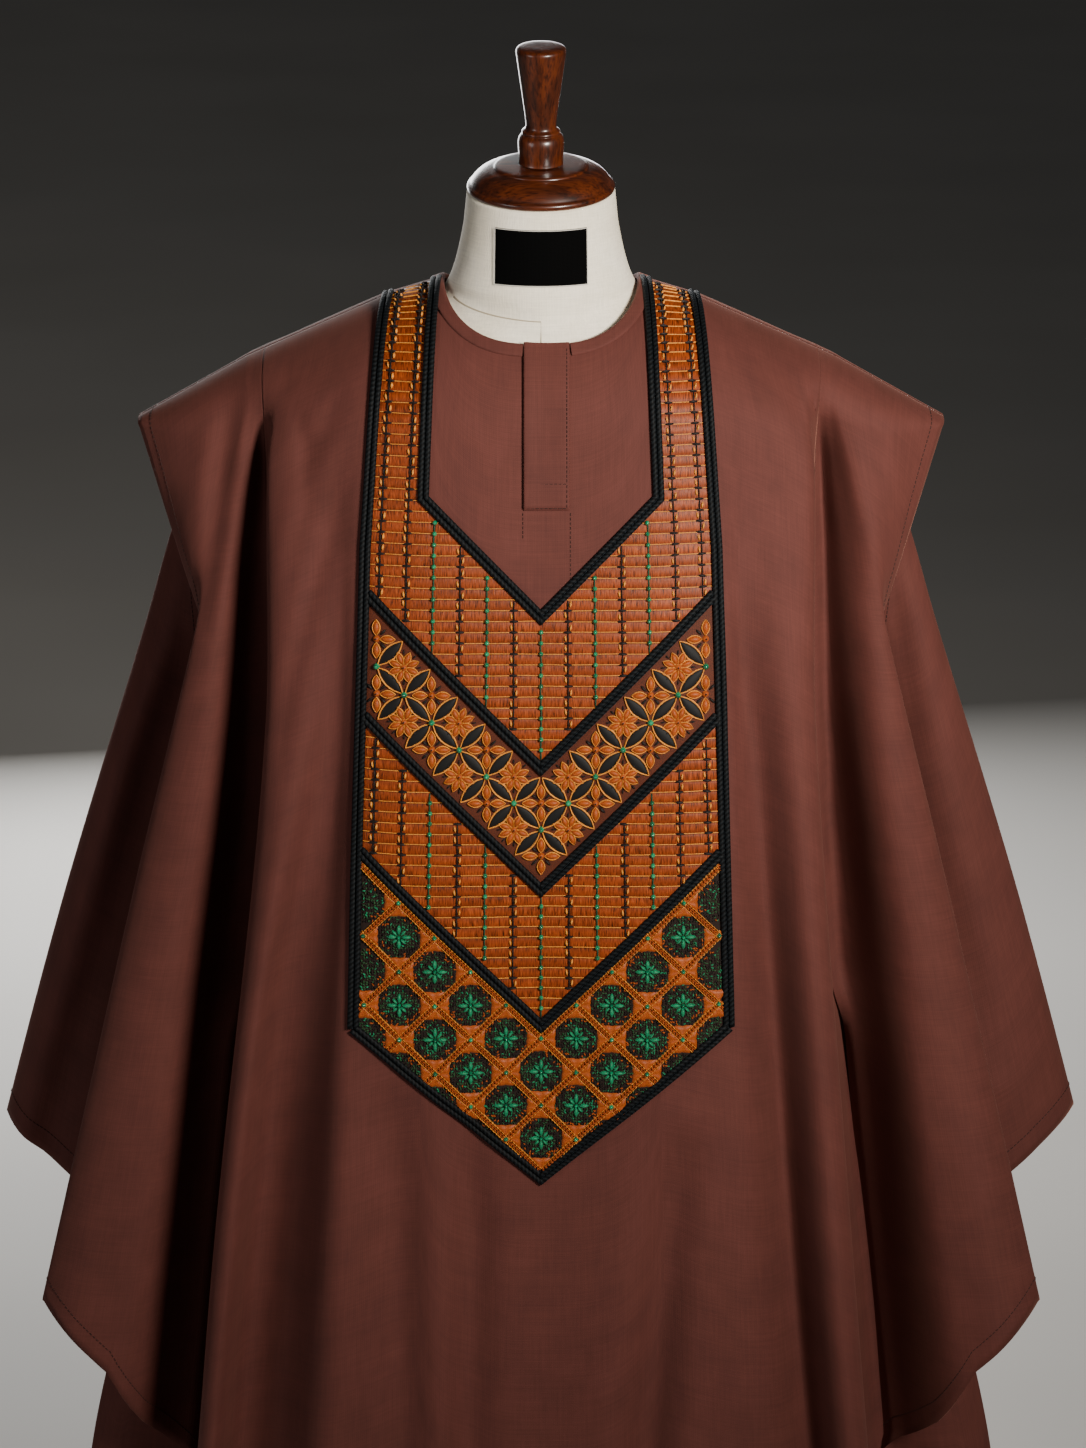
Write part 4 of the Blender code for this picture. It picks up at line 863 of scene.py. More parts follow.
def field_outlines(ground):
    """Outlines of the four embroidered fields; each reaches a little way in under its cords."""
    low = INNER_LOW_Z - INNER_TALL + CORD_WIDE * INNER_RISE
    outer, inner = outer_half(SEAM_H, FIELD_INSET), strap_inner(SEAM_H, FIELD_INSET)
    tops = [(x, ground.seam_h(x)) for x in (outer, (outer + inner) / 2, inner)]
    upper = [(0.0, CHEVRON_Z[0] - CORD_OVER), chevron_end(CHEVRON_Z[0] - CORD_OVER, FIELD_INSET),
             (outer_half(BIB_CHEST_Z, FIELD_INSET), BIB_CHEST_Z), *tops,
             (strap_inner(low, FIELD_INSET), low), (0.0, INNER_POINT_Z - INNER_TALL + CORD_OVER)]
    outlines = {"bib_upper_field": mirror_outline(upper)}
    for name, above, below in (("bib_lattice_field", 0, 1), ("bib_lower_field", 1, 2)):
        outlines[name] = chevron_band(CHEVRON_Z[above] - CORD_TALL + CORD_OVER, CHEVRON_Z[below] - CORD_OVER)
    top = CHEVRON_Z[2] - CORD_TALL + CORD_OVER
    side = outer_half(BIB_LOW_Z, FIELD_INSET)
    foot = BIB_POINT_Z + POINT_TALL - CORD_OVER
    outlines["bib_point_field"] = mirror_outline([(0.0, foot), (side, foot + POINT_RISE * side),
                                                  chevron_end(top, FIELD_INSET), (0.0, top)])
    return outlines


def cord_paths(ground):
    """Middle lines of the black cords, which edge the bib and part its fields."""
    half = CORD_WIDE / 2
    corner = (outer_half(BIB_LOW_Z, half), BIB_POINT_Z + POINT_TALL / 2 + POINT_RISE * BIB_LOW_HALF)
    top = outer_half(SEAM_H, half)
    outer = [(top, ground.seam_h(top)), (outer_half(BIB_CHEST_Z, half), BIB_CHEST_Z), corner]
    low = INNER_LOW_Z - INNER_TALL / 2 + half * INNER_RISE
    inner_top = strap_inner(SEAM_H, half)
    inner = [(inner_top, ground.seam_h(inner_top)), (strap_inner(low, half), low),
             (0.0, INNER_POINT_Z - INNER_TALL / 2)]
    paths = {"cord_outer_right": outer, "cord_outer_left": [(-x, h) for x, h in outer],
             "cord_inner": inner + [(-x, h) for x, h in reversed(inner[:-1])],
             "cord_bottom": [(-corner[0], corner[1]), (0.0, BIB_POINT_Z + POINT_TALL / 2), corner]}
    for k, h in enumerate(CHEVRON_Z, 1):
        x, end = chevron_end(h - CORD_TALL / 2, CORD_WIDE * 0.8)
        paths["cord_chevron_%d" % k] = [(-x, end), (0.0, h - CORD_TALL / 2), (x, end)]
    return paths


def well_inside(outline, x, h, room):
    return all(point_in(outline, x + a * room, h + b * room) for a, b in ((-1, 0), (1, 0), (0, -1), (0, 1)))


def satin_lift(x, h):
    """Relief of the satin rows: pillows between the row threads, pinched at the columns."""
    row = h / ROW
    pillow = math.sin(math.pi * (row - math.floor(row))) ** 0.6
    nominal = x * BIB_CHEST_HALF / outer_half(h)
    off = abs(nominal - COLUMN * round(nominal / COLUMN))
    pinch = 1 - 0.6 * math.exp(-(off / 0.0024) ** 2)
    brick = random.Random(int(row) * 131 + int(nominal / COLUMN + 50)).uniform(0.80, 1.15)
    return 0.0005 + 0.0006 * pillow * pinch * brick


def plain_lift(x, h):
    return 0.0007


def make_field(name, outline, ground, lift):
    bm = flat_grid(outline, COLUMN / 8, ROW / 6)
    for vert in bm.verts:
        vert.co.y = lift(vert.co.x, vert.co.z)
    lay_mesh(ground, bm)
    return to_object("robe_" + name, bm)


# Sizes of the stitches and beads: long, wide and tall, or wide and tall where the length is the row's.
ROW_THREAD, CHAIN, VINE = (0.0008, 0.0011), (0.0014, 0.0024), (0.0015, 0.0021)
TUFT, PUFF = (0.0088, 0.0026, 0.0024), (ROW * 0.66, 0.0022, 0.0026)
COLUMN_BEAD, NET_BEAD = (0.0043, 0.0043, 0.0040), (0.0058, 0.0058, 0.0056)
POINT_BEAD, FLOWER_BEAD = (0.0046, 0.0046, 0.0056), (0.0034, 0.0034, 0.0050)
EYE, PUPIL = (0.0062, 0.0062, 0.0040), (0.0022, 0.0022, 0.0058)
# Rings of stitches: kind, how many, radius, angle of the first, size.
ROSETTE = (("petal", 8, 0.0078, math.pi / 8, 0.0118, 0.0054, 0.0036),
           ("dark", 8, 0.0126, 0.0, 0.0044, 0.0017, 0.0020))
LOZENGE = (("petal", 4, 0.0094, 0.0, 0.0130, 0.0064, 0.0036),
           ("dark", 4, 0.0080, math.pi / 4, 0.0076, 0.0026, 0.0022))
FLOWER = (("leaf", 4, 0.0062, 0.0, 0.0096, 0.0042, 0.0032),
          ("leaf", 4, 0.0050, math.pi / 4, 0.0070, 0.0028, 0.0030))
# Stitches on both sides of a corded line: kind, how far off it, how much they slant, size.
CORDED = (("braid", 0.0008, 0.40, (0.0042, 0.0016, 0.0030)), ("edge", 0.0023, 0.0, (0.0036, 0.0009, 0.0034)))
CORDED_STEP = 0.0032       # from stitch to stitch along the line


def satin_stitches(outlines):
    """Spots of the row threads and of the stitches in each column of the satin fields."""
    dice = random.Random(11)
    spots = {kind: [] for kind in ("row", "dark", "tuft", "puff", "vine", "bead")}
    for outline in outlines:
        _, _, low, high = extent(outline)
        for row in range(math.floor(low / ROW), math.ceil(high / ROW) + 1):
            h = row * ROW
            fan = outer_half(h) / BIB_CHEST_HALF
            hits = level_hits(outline, h)
            for left, right in zip(hits[::2], hits[1::2]):
                edges = [k * COLUMN * fan for k in range(-7, 8) if left < k * COLUMN * fan < right]
                edges = [left] + edges + [right]
                for a, b in zip(edges, edges[1:]):
                    if b - a > SHORTEST_ROW:
                        spots["row"].append(((a + b) / 2, h + dice.uniform(-0.0003, 0.0003),
                                             dice.uniform(-0.02, 0.02), b - a, *ROW_THREAD))
            for k in range(-6, 7):
                x, middle, up = k * COLUMN * fan, h + ROW / 2, math.pi / 2
                beaded = abs(k) in BEAD_COLUMNS
                if well_inside(outline, x, h, STITCH_ROOM):
                    if beaded:
                        spots["bead"].append((x, h, 0.0, *COLUMN_BEAD))
                    else:
                        spots["tuft"].append((x + dice.uniform(-0.0004, 0.0004), h,
                                              dice.uniform(-0.12, 0.12), *TUFT))
                if not well_inside(outline, x, middle, STITCH_ROOM):
                    continue
                if beaded:
                    spots["vine"].append((x + dice.uniform(-0.0003, 0.0003), middle,
                                          up + dice.uniform(-0.06, 0.06), ROW, *VINE))
                else:
                    spots["dark"].append((x, middle, up + dice.uniform(-0.05, 0.05), ROW, *CHAIN))
                    way = dice.choice((-1, 1))
                    spots["puff"].append((x + way * 0.0022, h + ROW * dice.uniform(0.38, 0.60),
                                          up - way * 0.16, *PUFF))
    return spots


def ring_of(x, h, count, radius, start, *size):
    """Spots of one size that point outward round a middle."""
    turns = [start + 2 * math.pi * k / count for k in range(count)]
    return [(x + math.cos(a) * radius, h + math.sin(a) * radius, a, *size) for a in turns]


def lattice_stitches(outline):
    """A slanted net of dark leaves with beads where they meet, and a rosette or lozenge in each cell."""
    foot = CHEVRON_Z[1]
    half = (CHEVRON_Z[0] - CORD_TALL - foot) / 4                  # half a cell, corner to corner
    spots = {kind: [] for kind in ("petal", "pad", "leaf", "dark", "bead")}
    corners = [(k, m, way) for k in range(-1, 3) for m in range(-1, 12) for way in (-1, 1)
               if m > k or (m == k and way > 0)]
    for k, m, way in corners:
        x, h = way * (m - k) * half, foot + (k + m) * half
        if well_inside(outline, x, h, 0.0024):
            spots["bead"].append((x, h, 0.0, *NET_BEAD))
        for slope in (-1, 1):
            mid = (x + slope * half / 2, h + half / 2)
            if well_inside(outline, *mid, 0.0046):
                spots["leaf"].append((*mid, slope * math.pi / 4, half * math.sqrt(2) * 0.90, 0.0104, 0.0017))
        h += half
        if not well_inside(outline, x, h, 0.0075):
            continue
        for kind, *ring in ROSETTE if (k + m) % 2 else LOZENGE:
            spots[kind] += ring_of(x, h, *ring)
        spots["pad"].append((x, h, 0.0, *EYE))
        spots["dark"].append((x, h, 0.0, *PUPIL))
    return {kind: [spot for spot in lot if well_inside(outline, spot[0], spot[1], spot[3] * 0.42)]
            for kind, lot in spots.items()}


def medallion_knots(outline, foot, spots):
    """Short stitches, thrown close together and kept inside the cells of the corded net."""
    dice = random.Random(5)
    half = CELL / 2
    left, right, low, high = extent(outline)
    for i in range(math.floor(left / KNOT_PITCH), math.ceil(right / KNOT_PITCH) + 1):
        for j in range(math.floor((low - foot) / KNOT_PITCH), math.ceil((high - foot) / KNOT_PITCH) + 1):
            x = i * KNOT_PITCH + dice.uniform(-0.0006, 0.0006)
            h = foot + j * KNOT_PITCH + dice.uniform(-0.0006, 0.0006)
            if not well_inside(outline, x, h, 0.0022):
                continue
            a, b = (h - foot + x) / CELL, (h - foot - x) / CELL     # whole numbers on the corded lines
            if min(abs(a - round(a)), abs(b - round(b))) * CELL / math.sqrt(2) < 0.0030:
                continue
            across = abs(x - (math.floor(a) - math.floor(b)) * half)
            up = abs(h - foot - (math.floor(a) + math.floor(b) + 1) * half)
            if max(across, up) > half * 0.60:
                continue
            lot = dice.random()
            if across + up < half * 0.62:
                kind = "moss" if lot < 0.5 else "green" if lot < 0.68 else "black"
            else:
                kind = "rust" if lot < 0.30 else "black" if lot < 0.85 else "moss"
            spots[kind].append((x, h, dice.uniform(0, math.pi), dice.uniform(0.0024, 0.0036),
                                dice.uniform(0.0010, 0.0014), dice.uniform(0.0014, 0.0024)))


def point_stitches(outline):
    """Medallions of short stitches, with satin pads at the corners, in a net of corded orange lines."""
    foot = BIB_POINT_Z + POINT_TALL
    half = CELL / 2
    spots = {kind: [] for kind in ("braid", "edge", "green", "leaf", "moss", "rust", "black", "pad", "bead")}
    medallion_knots(outline, foot, spots)
    for line in range(-8, 14):
        for m in range(-8, 14):
            x, h = (line - m) * half, foot + (line + m) * half
            if well_inside(outline, x, h, 0.0024):
                spots["bead"].append((x, h, 0.0, *POINT_BEAD))
            h += half
            if well_inside(outline, x, h, 0.0105):
                for kind, *ring in FLOWER:
                    spots[kind] += ring_of(x, h, *ring)
                spots["bead"].append((x, h, 0.0, *FLOWER_BEAD))
            pads = ring_of(x, h, 4, half * 0.76, 0.0, half * 0.34, half * 0.64, 0.0024)
            spots["pad"] += [pad for pad in pads if well_inside(outline, pad[0], pad[1], 0.0048)]
        for slope, k in ((slope, k) for slope in (-1, 1) for k in range(-90, 90)):
            x = k * CORDED_STEP / math.sqrt(2)
            h = foot + line * CELL + slope * x
            if not well_inside(outline, x, h, 0.0018):
                continue
            way = math.atan2(slope, 1)
            for off in (-1, 1):
                for kind, far, turn, size in CORDED:
                    spots[kind].append((x - math.sin(way) * off * far, h + math.cos(way) * off * far,
                                        way + off * turn, *size))
    return spots


# ---------------------------------------------------------------- neck bands, placket and seams
def neckline(layer, depth, count=60):
    """The neckline as flat places, left to right as seen from outside."""
    middle = len(layer.lines) // 2
    flat = []
    for k in range(-count, count + 1):
        s = middle + math.sin(k / count * math.pi / 2)
        angle = layer.neckline_angle(s, depth)
        low, arc = turn_arc(layer, s)
        z = low + layer.turn(s) * math.cos(angle)
        x = layer.points(s, np.array([z]))[0, 0]
        h = low + arc * (1 - angle / (math.pi / 2)) + (SEAM_FLAT if abs(k) == count else 0.0)
        flat.append((-layer.facing * x, h))
    return np.array(flat[::-layer.facing])


def band_between(edge, left, right):
    """The neckline from x = left to x = right, its ends cut square."""
    inner = edge[(edge[:, 0] > left) & (edge[:, 0] < right)]
    ends = [(x, np.interp(x, edge[:, 0], edge[:, 1])) for x in (left, right)]
    return np.array([ends[0]] + list(inner) + [ends[1]])


# Section of the neck band: how far below the neckline, and how far off the cloth.
BAND_SECTION = ((-0.0010, -0.0026), (-0.0012, 0.0002), (-0.0004, 0.0019), (0.0010, 0.0026), (0.0032, 0.0023),
                (0.0070, 0.0021), (0.0096, 0.0021), (0.0108, 0.0016), (0.0112, 0.0003))


def strip_sheet(name, rows_of_flat, ground):
    """Sheet through rows of flat places, each row from left to right, listed from the top down."""
    bm, table = bmesh.new(), np.array(rows_of_flat)
    grid_mesh(bm, table.shape[1], table.shape[0], lambda i, j: table[j, i])
    lay_mesh(ground, bm)
    bmesh.ops.recalc_face_normals(bm, faces=bm.faces[:])
    return to_object(name, bm)


def neck_band(name, edge, ground):
    """A band along a stretch of the neckline, with the section above."""
    ways = unit(np.gradient(edge, axis=0))
    rows = [[(x + wh * off, lift, h - wx * off) for (x, h), (wx, wh) in zip(edge, ways)]
            for off, lift in BAND_SECTION]
    return strip_sheet("robe_" + name, rows, ground)


def placket_strip(edge, ground):
    """The fly strip: its left edge stands open, so it is lifted more there."""
    wide = PLACKET_RIGHT - PLACKET_LEFT
    # section of the strip: how far from its left edge, and how far off the cloth
    section = ((0.0, 0.0004), (0.0, 0.0030), (0.0006, 0.0036), (0.002, 0.0038), (0.006, 0.0034),
               (0.011, 0.0029), (0.016, 0.0026), (0.021, 0.0025), (0.026, 0.0025), (0.031, 0.0026),
               (0.0355, 0.0026), (wide - 0.0006, 0.0022), (wide, 0.0014), (wide, 0.0002))
    rows, steps = [], 56
    for j in range(steps + 1):
        row = []
        for a, lift in section:
            x = PLACKET_LEFT + a
            top = np.interp(x, edge[:, 0], edge[:, 1]) + 0.0010
            h = top + (PLACKET_FOOT_Z - top) * j / steps
            end = min(1.0, (h - PLACKET_FOOT_Z) / 0.0012 + 0.25) if j < steps else 0.0
            wave = 0.0005 * math.sin(h * 61 + 0.6) * math.sin(math.pi * a / wide)
            row.append((x, max(0.0002, (lift + wave) * end), h))
        rows.append(row)
    return strip_sheet("robe_placket", rows, ground)


def dashes(*path):
    """Spots of machine stitches along a flat path of (x, h) corners."""
    spots = []
    for (x0, h0), (x1, h1) in zip(path, path[1:]):
        count = max(1, round(math.hypot(x1 - x0, h1 - h0) / DASH_PITCH))
        way = math.atan2(h1 - h0, x1 - x0)
        for share in (np.arange(count) + 0.5) / count:
            spots.append((x0 + (x1 - x0) * share, h0 + (h1 - h0) * share, way, *DASH))
    return spots


def surface_line(grid, inset, edge):
    """Places and normals on a sheet, `inset` in from its foot, left or right edge."""
    tables = [grid, grid_normals(grid)]
    if edge == "foot":
        tables = [table[:, ::-1] for table in tables]
    else:
        tables = [table[::1 if edge == "left" else -1].transpose(1, 0, 2) for table in tables]
    runs = [run_along(line) for line in tables[0]]
    return [np.array([at_run(inset, run, line) for run, line in zip(runs, table)]) for table in tables]


def seam_stitches(name, lines):
    """One mesh of small stitches along lines of (places, normals) on curved cloth."""
    shape, faces = strip(1, 4)
    long, gap, wide, tall, clear = SEAM_STITCH
    stitches = []
    for places, outs in lines:
        run = run_along(places)
        middles = np.arange(long, run[-1] - long, long + gap)
        at = at_run(middles, run, places)
        way = unit(at_run(middles + 0.001, run, places) - at)
        out = at_run(middles, run, outs)
        out = unit(out - way * np.sum(out * way, axis=1, keepdims=True))
        side = np.cross(way, out)
        stitches.append(at[:, None] + way[:, None] * shape[:, 0:1] * long
                        + out[:, None] * (shape[:, 1:2] * tall + clear)
                        - side[:, None] * shape[:, 2:3] * wide)
    return copies_mesh(name, np.concatenate(stitches), faces)


# ---------------------------------------------------------------- dress form, label and stand
FORM_ROUND = 96


def form_place(angle, z, out=0.0):
    """Place on the form's cover; angle 0 faces the front, growing to the right."""
    table = np.array(FORM_SECTIONS)
    top = table[-1, 0]
    half, front, back, power, middle = along(table, np.array([min(z, top)]))[0]
    inset = 0.0016 * float(ease((1.492 - z) / 0.01))        # the hidden part stays clear of the cloth
    sx, sy = math.sin(angle), -math.cos(angle)
    x = (half - inset + out) * math.copysign(abs(sx) ** (2 / power), sx)
    y = middle + ((back if sy > 0 else front) - inset + out) * math.copysign(abs(sy) ** (2 / power), sy)
    if z <= top:
        return Vector((x, y, z))
    share = (z - top) / (NECK_TOP_Z - top)
    rim = Matrix.Rotation(NECK_LEAN, 3, "X") @ Vector((CAP_R * sx, CAP_R * sy, 0))
    rim += Vector((sx * out, sy * out, NECK_TOP_Z))
    return Vector((x, y, top)).lerp(rim, share)


def make_form():
    angles = [2 * math.pi * (k / FORM_ROUND - 0.5) for k in range(FORM_ROUND + 1)]
    heights = [*np.linspace(NECK_TOP_Z, 1.43, 60), *np.linspace(1.425, FORM_SECTIONS[0][0], 70)]
    bm = bmesh.new()
    grid_mesh(bm, len(angles), len(heights), lambda i, j: form_place(angles[i], heights[j]),
              lambda i, j: (angles[i] * NECK_R, heights[j]))
    bmesh.ops.remove_doubles(bm, verts=bm.verts[:], dist=1e-5)
    edges = [edge for edge in bm.edges if edge.is_boundary]
    bmesh.ops.holes_fill(bm, edges=edges, sides=FORM_ROUND + 4)
    bmesh.ops.recalc_face_normals(bm, faces=bm.faces[:])
    return to_object("form_cover", bm)


def seam_on_form(name, path, wide):
    """A thin raised seam along (angle, height) places on the form."""
    path = np.array(path)
    spread = np.concatenate([path[1:] - path[:-1], path[-1:] - path[-2:-1]])
    spread[1:-1] = path[2:] - path[:-2]
    ways = unit(spread * (NECK_R, 1))

    def place(i, j):
        side = 1 - j / 2
        off = side * wide / 2
        return form_place(path[i, 0] - ways[i, 1] * off / NECK_R, path[i, 1] + ways[i, 0] * off,
                          0.0001 + 0.0002 * (1 - side * side))
    bm = bmesh.new()
    grid_mesh(bm, len(path), 5, place)
    return to_object(name, bm)


def label_place(across, up, out):
    """Place on the label, which is a true rectangle wrapped round the neck."""
    z = LABEL_Z + up
    return form_place(across / form_place(math.pi / 2, z).x, z, out)


def make_label():
    """Blank woven label, its hem turned under, bent round the front of the neck."""
    columns, rows = 60, 36
    bm = bmesh.new()

    def cut(i, j):
        return (i / columns - 0.5) * LABEL_WIDE, (0.5 - j / rows) * LABEL_TALL

    def place(i, j):
        edge = min(i, columns - i, j, rows - j)
        return label_place(*cut(i, j), (0.0002, 0.0013, 0.0017, 0.0016)[min(edge, 3)])
    grid_mesh(bm, columns + 1, rows + 1, place, cut)
    return to_object("form_label", bm)


def label_border():
    """The woven line just inside the label's edge."""
    reach, high = LABEL_WIDE / 2 - 0.0006, LABEL_TALL / 2 - 0.0006
    corners = [(-reach, high), (reach, high), (reach, -high), (-reach, -high), (-reach, high)]
    bm = bmesh.new()
    for (x0, h0), (x1, h1) in zip(corners, corners[1:]):
        def place(i, j):
            off = (1 - j) * 0.00045
            x, h = x0 + (x1 - x0) * i / 30, h0 + (h1 - h0) * i / 30
            tall = 0.0016 + 0.0004 * (1 - (1 - j) ** 2)
            return label_place(x, h + off, tall) if h0 == h1 else label_place(x + off, h, tall)
        grid_mesh(bm, 31, 3, place)
    bmesh.ops.recalc_face_normals(bm, faces=bm.faces[:])
    return to_object("form_label_border", bm)


# Turned shapes: radius and height, from the middle of the top down the outer side.
CAP_SHAPE = ((0.0, 0.0232), (0.020, 0.0231), (0.033, 0.0228), (0.0376, 0.0225), (0.0390, 0.0220),
             (0.0397, 0.0212), (0.0396, 0.0205), (0.0408, 0.0202), (0.0460, 0.0194), (0.0516, 0.0168),
             (0.0560, 0.0130), (0.0586, 0.0094), (0.0596, 0.0072), (0.0604, 0.0067), (0.0616, 0.0061),
             (0.0623, 0.0049), (0.0625, 0.0036), (0.0621, 0.0020), (0.0610, 0.0008), (0.0596, 0.0004),
             (0.0, 0.0004))
FINIAL_SHAPE = ((0.0, 0.1024), (0.0120, 0.1023), (0.0176, 0.1018), (0.0198, 0.1010), (0.0209, 0.0996),
                (0.0212, 0.0978), (0.0208, 0.0950), (0.0195, 0.0850), (0.0178, 0.0730), (0.0160, 0.0600),
                (0.0143, 0.0480), (0.0132, 0.0390), (0.0128, 0.0345), (0.0131, 0.0318), (0.0144, 0.0304),
                (0.0158, 0.0297), (0.0164, 0.0286), (0.0162, 0.0274), (0.0156, 0.0268), (0.0166, 0.0262),
                (0.0181, 0.0247), (0.0191, 0.0222), (0.0195, 0.0192), (0.0194, 0.0160), (0.0190, 0.0110),
                (0.0186, 0.0060), (0.0185, 0.0032), (0.0189, 0.0013), (0.0192, 0.0003), (0.0, 0.0003))
POLE_SHAPE = ((0.0, 0.7945), (0.0290, 0.7945), (0.0300, 0.7935), (0.0300, 0.7870), (0.0290, 0.7855),
              (0.0200, 0.7840), (0.0155, 0.7810), (0.0142, 0.7740), (0.0140, 0.7400), (0.0140, 0.4200),
              (0.0140, 0.0640), (0.0146, 0.0580), (0.0175, 0.0500), (0.0226, 0.0425), (0.0245, 0.0395),
              (0.0238, 0.0360), (0.0262, 0.0330), (0.0278, 0.0300), (0.0278, 0.0284), (0.0, 0.0284))
BASE_SHAPE = ((0.0, 0.0280), (0.1300, 0.0274), (0.1420, 0.0262), (0.1455, 0.0240), (0.1490, 0.0236),
              (0.1600, 0.0212), (0.1690, 0.0170), (0.1740, 0.0120), (0.1750, 0.0080), (0.1744, 0.0040),
              (0.1725, 0.0014), (0.1690, 0.0), (0.0, 0.0))


def turned(name, shape, steps, lean=0.0, place=(0, 0, 0)):
    """A section of (radius, height) places turned round, then smoothed between them."""
    bm = bmesh.new()
    verts = [bm.verts.new((radius, 0, z)) for radius, z in shape]
    edges = [bm.edges.new(pair) for pair in zip(verts, verts[1:])]
    bmesh.ops.spin(bm, geom=verts + edges, cent=(0, 0, 0), axis=(0, 0, 1), angle=2 * math.pi, steps=steps,
                   use_merge=True)
    bmesh.ops.remove_doubles(bm, verts=bm.verts[:], dist=1e-5)
    bmesh.ops.recalc_face_normals(bm, faces=bm.faces[:])
    bmesh.ops.rotate(bm, verts=bm.verts[:], cent=(0, 0, 0), matrix=Matrix.Rotation(lean, 3, "X"))
    bmesh.ops.translate(bm, verts=bm.verts[:], vec=place)
    thing = to_object(name, bm)
    rounding = thing.modifiers.new("rounding", "SUBSURF")
    rounding.levels = rounding.render_levels = 2
    return thing


# ---------------------------------------------------------------- materials
ROBE_DARK, ROBE, ROBE_LIGHT = "#4A2621", "#532B25", "#5A302A"
SATIN_DEEP, SATIN_MID, SATIN, SATIN_LIGHT = "#2E1103", "#76300C", "#964116", "#B05926"


def srgb(code):
    """Linear colour of an sRGB hex code."""
    parts = [int(code[i:i + 2], 16) / 255 for i in (1, 3, 5)]
    return [p / 12.92 if p <= 0.04045 else ((p + 0.055) / 1.055) ** 2.4 for p in parts] + [1.0]


class Finish:
    """A material under way: nodes are added one at a time, and then its shader is fed.

    A scale counts what fits in a metre of cloth or of the object: 500 is one thing every 2 mm.
    """

    def __init__(self, name, **sockets):
        self.material = bpy.data.materials.new(name)
        self.material.use_nodes = True
        self.tree = self.material.node_tree
        self.shader = self.tree.nodes["Principled BSDF"]
        for socket, value in sockets.items():
            self.shader.inputs[socket.replace("_", " ")].default_value = value

    def add(self, kind, inputs=(), out=0, stops=(), **settings):
        """Add a node with its settings, its inputs (values or links) and its colour stops: one output."""
        made = self.tree.nodes.new("ShaderNode" + kind)
        for name, value in settings.items():
            setattr(made, name, value)
        for socket, value in dict(inputs).items():
            if isinstance(value, bpy.types.NodeSocket):
                self.tree.links.new(value, made.inputs[socket])
            else:
                made.inputs[socket].default_value = value
        for k, (place, code) in enumerate(stops):
            stripes = made.color_ramp.elements
            stripe = stripes[k] if k < len(stripes) else stripes.new(place)
            stripe.position, stripe.color = place, srgb(code)
        return made.outputs[out]

    def done(self, colour, height=None, strength=0.0, distance=0.0):
        """Feed the shader its colour and its relief."""
        self.tree.links.new(colour, self.shader.inputs["Base Color"])
        if height is not None:
            relief = self.add("Bump", {"Height": height, "Strength": strength, "Distance": distance})
            self.tree.links.new(relief, self.shader.inputs["Normal"])
        return self.material


BLEND = {"data_type": "RGBA"}                           # one colour over another
TIMES = {"data_type": "RGBA", "blend_type": "MULTIPLY"}   # one colour times another


def woven(add, places, spacing):
    """Height of a plain weave: warp and weft over each other, threads a little uneven."""
    wave = {"Vector": places, "Scale": math.pi / 10 / spacing, "Distortion": 0.8, "Detail": 1.0,
            "Detail Scale": 0.6}              # a wave of scale pi / 10 repeats every metre
    warp, weft = (add("TexWave", wave, "Fac", bands_direction=way) for way in "XY")
    return add("Math", {0: warp, 1: weft}, operation="ADD")


def robe_cloth():
    """Fine plain-weave cotton, matte and warm; slubs and pressing marks break up its colour."""
    cotton = Finish("plain weave cotton", Roughness=0.80, Sheen_Weight=0.22, Sheen_Roughness=0.45,
                    Sheen_Tint=srgb("#C98A78"), Specular_IOR_Level=0.22)
    add = cotton.add
    places = add("UVMap", uv_map="cut")
    weave = woven(add, places, 0.0016)       # drawn coarser: the real threads are 0.4 mm apart
    # slubs and thick picks, some 2 mm apart and 50 mm long
    warp, weft = (add("Mapping", {"Vector": places, "Scale": drawn})
                  for drawn in ((520.0, 22.0, 1.0), (16.0, 560.0, 1.0)))
    slubs, picks = (add("TexNoise", {"Vector": way, "Scale": 1.0, "Detail": 3.0}) for way in (warp, weft))
    # pressing marks 40 mm across, over a drift of colour 0.3 m across
    marks = add("TexNoise", {"Vector": places, "Scale": 26.0, "Detail": 4.0, "Roughness": 0.6})
    drift = add("TexNoise", {"Vector": places, "Scale": 3.2})
    marks = add("ValToRGB", {"Fac": marks}, stops=((0.30, ROBE_DARK), (0.55, ROBE), (0.78, ROBE_LIGHT)))
    drift = add("ValToRGB", {"Fac": drift}, stops=((0.3, ROBE_DARK), (0.7, ROBE_LIGHT)))
    colour = add("Mix", {0: 0.35, 6: marks, 7: drift}, 2, **BLEND)
    threads = add("Math", {0: slubs, 1: picks}, operation="ADD")
    threads = add("Math", {0: threads, 1: 0.62, 2: 0.38}, operation="MULTIPLY_ADD")
    streaked = add("Mix", {0: 1.0, 6: colour, 7: threads}, 2, **TIMES)
    colour = add("Mix", {0: 0.55, 6: colour, 7: streaked}, 2, **BLEND)
    dents = add("Math", {0: weave, 1: -0.04, 2: 1.04}, operation="MULTIPLY_ADD")
    colour = add("Mix", {0: 1.0, 6: colour, 7: dents}, 2, **TIMES)
    relief = add("Math", {0: weave, 1: 0.5, 2: threads}, operation="MULTIPLY_ADD")
    return cotton.done(colour, relief, 0.16, 0.0004)


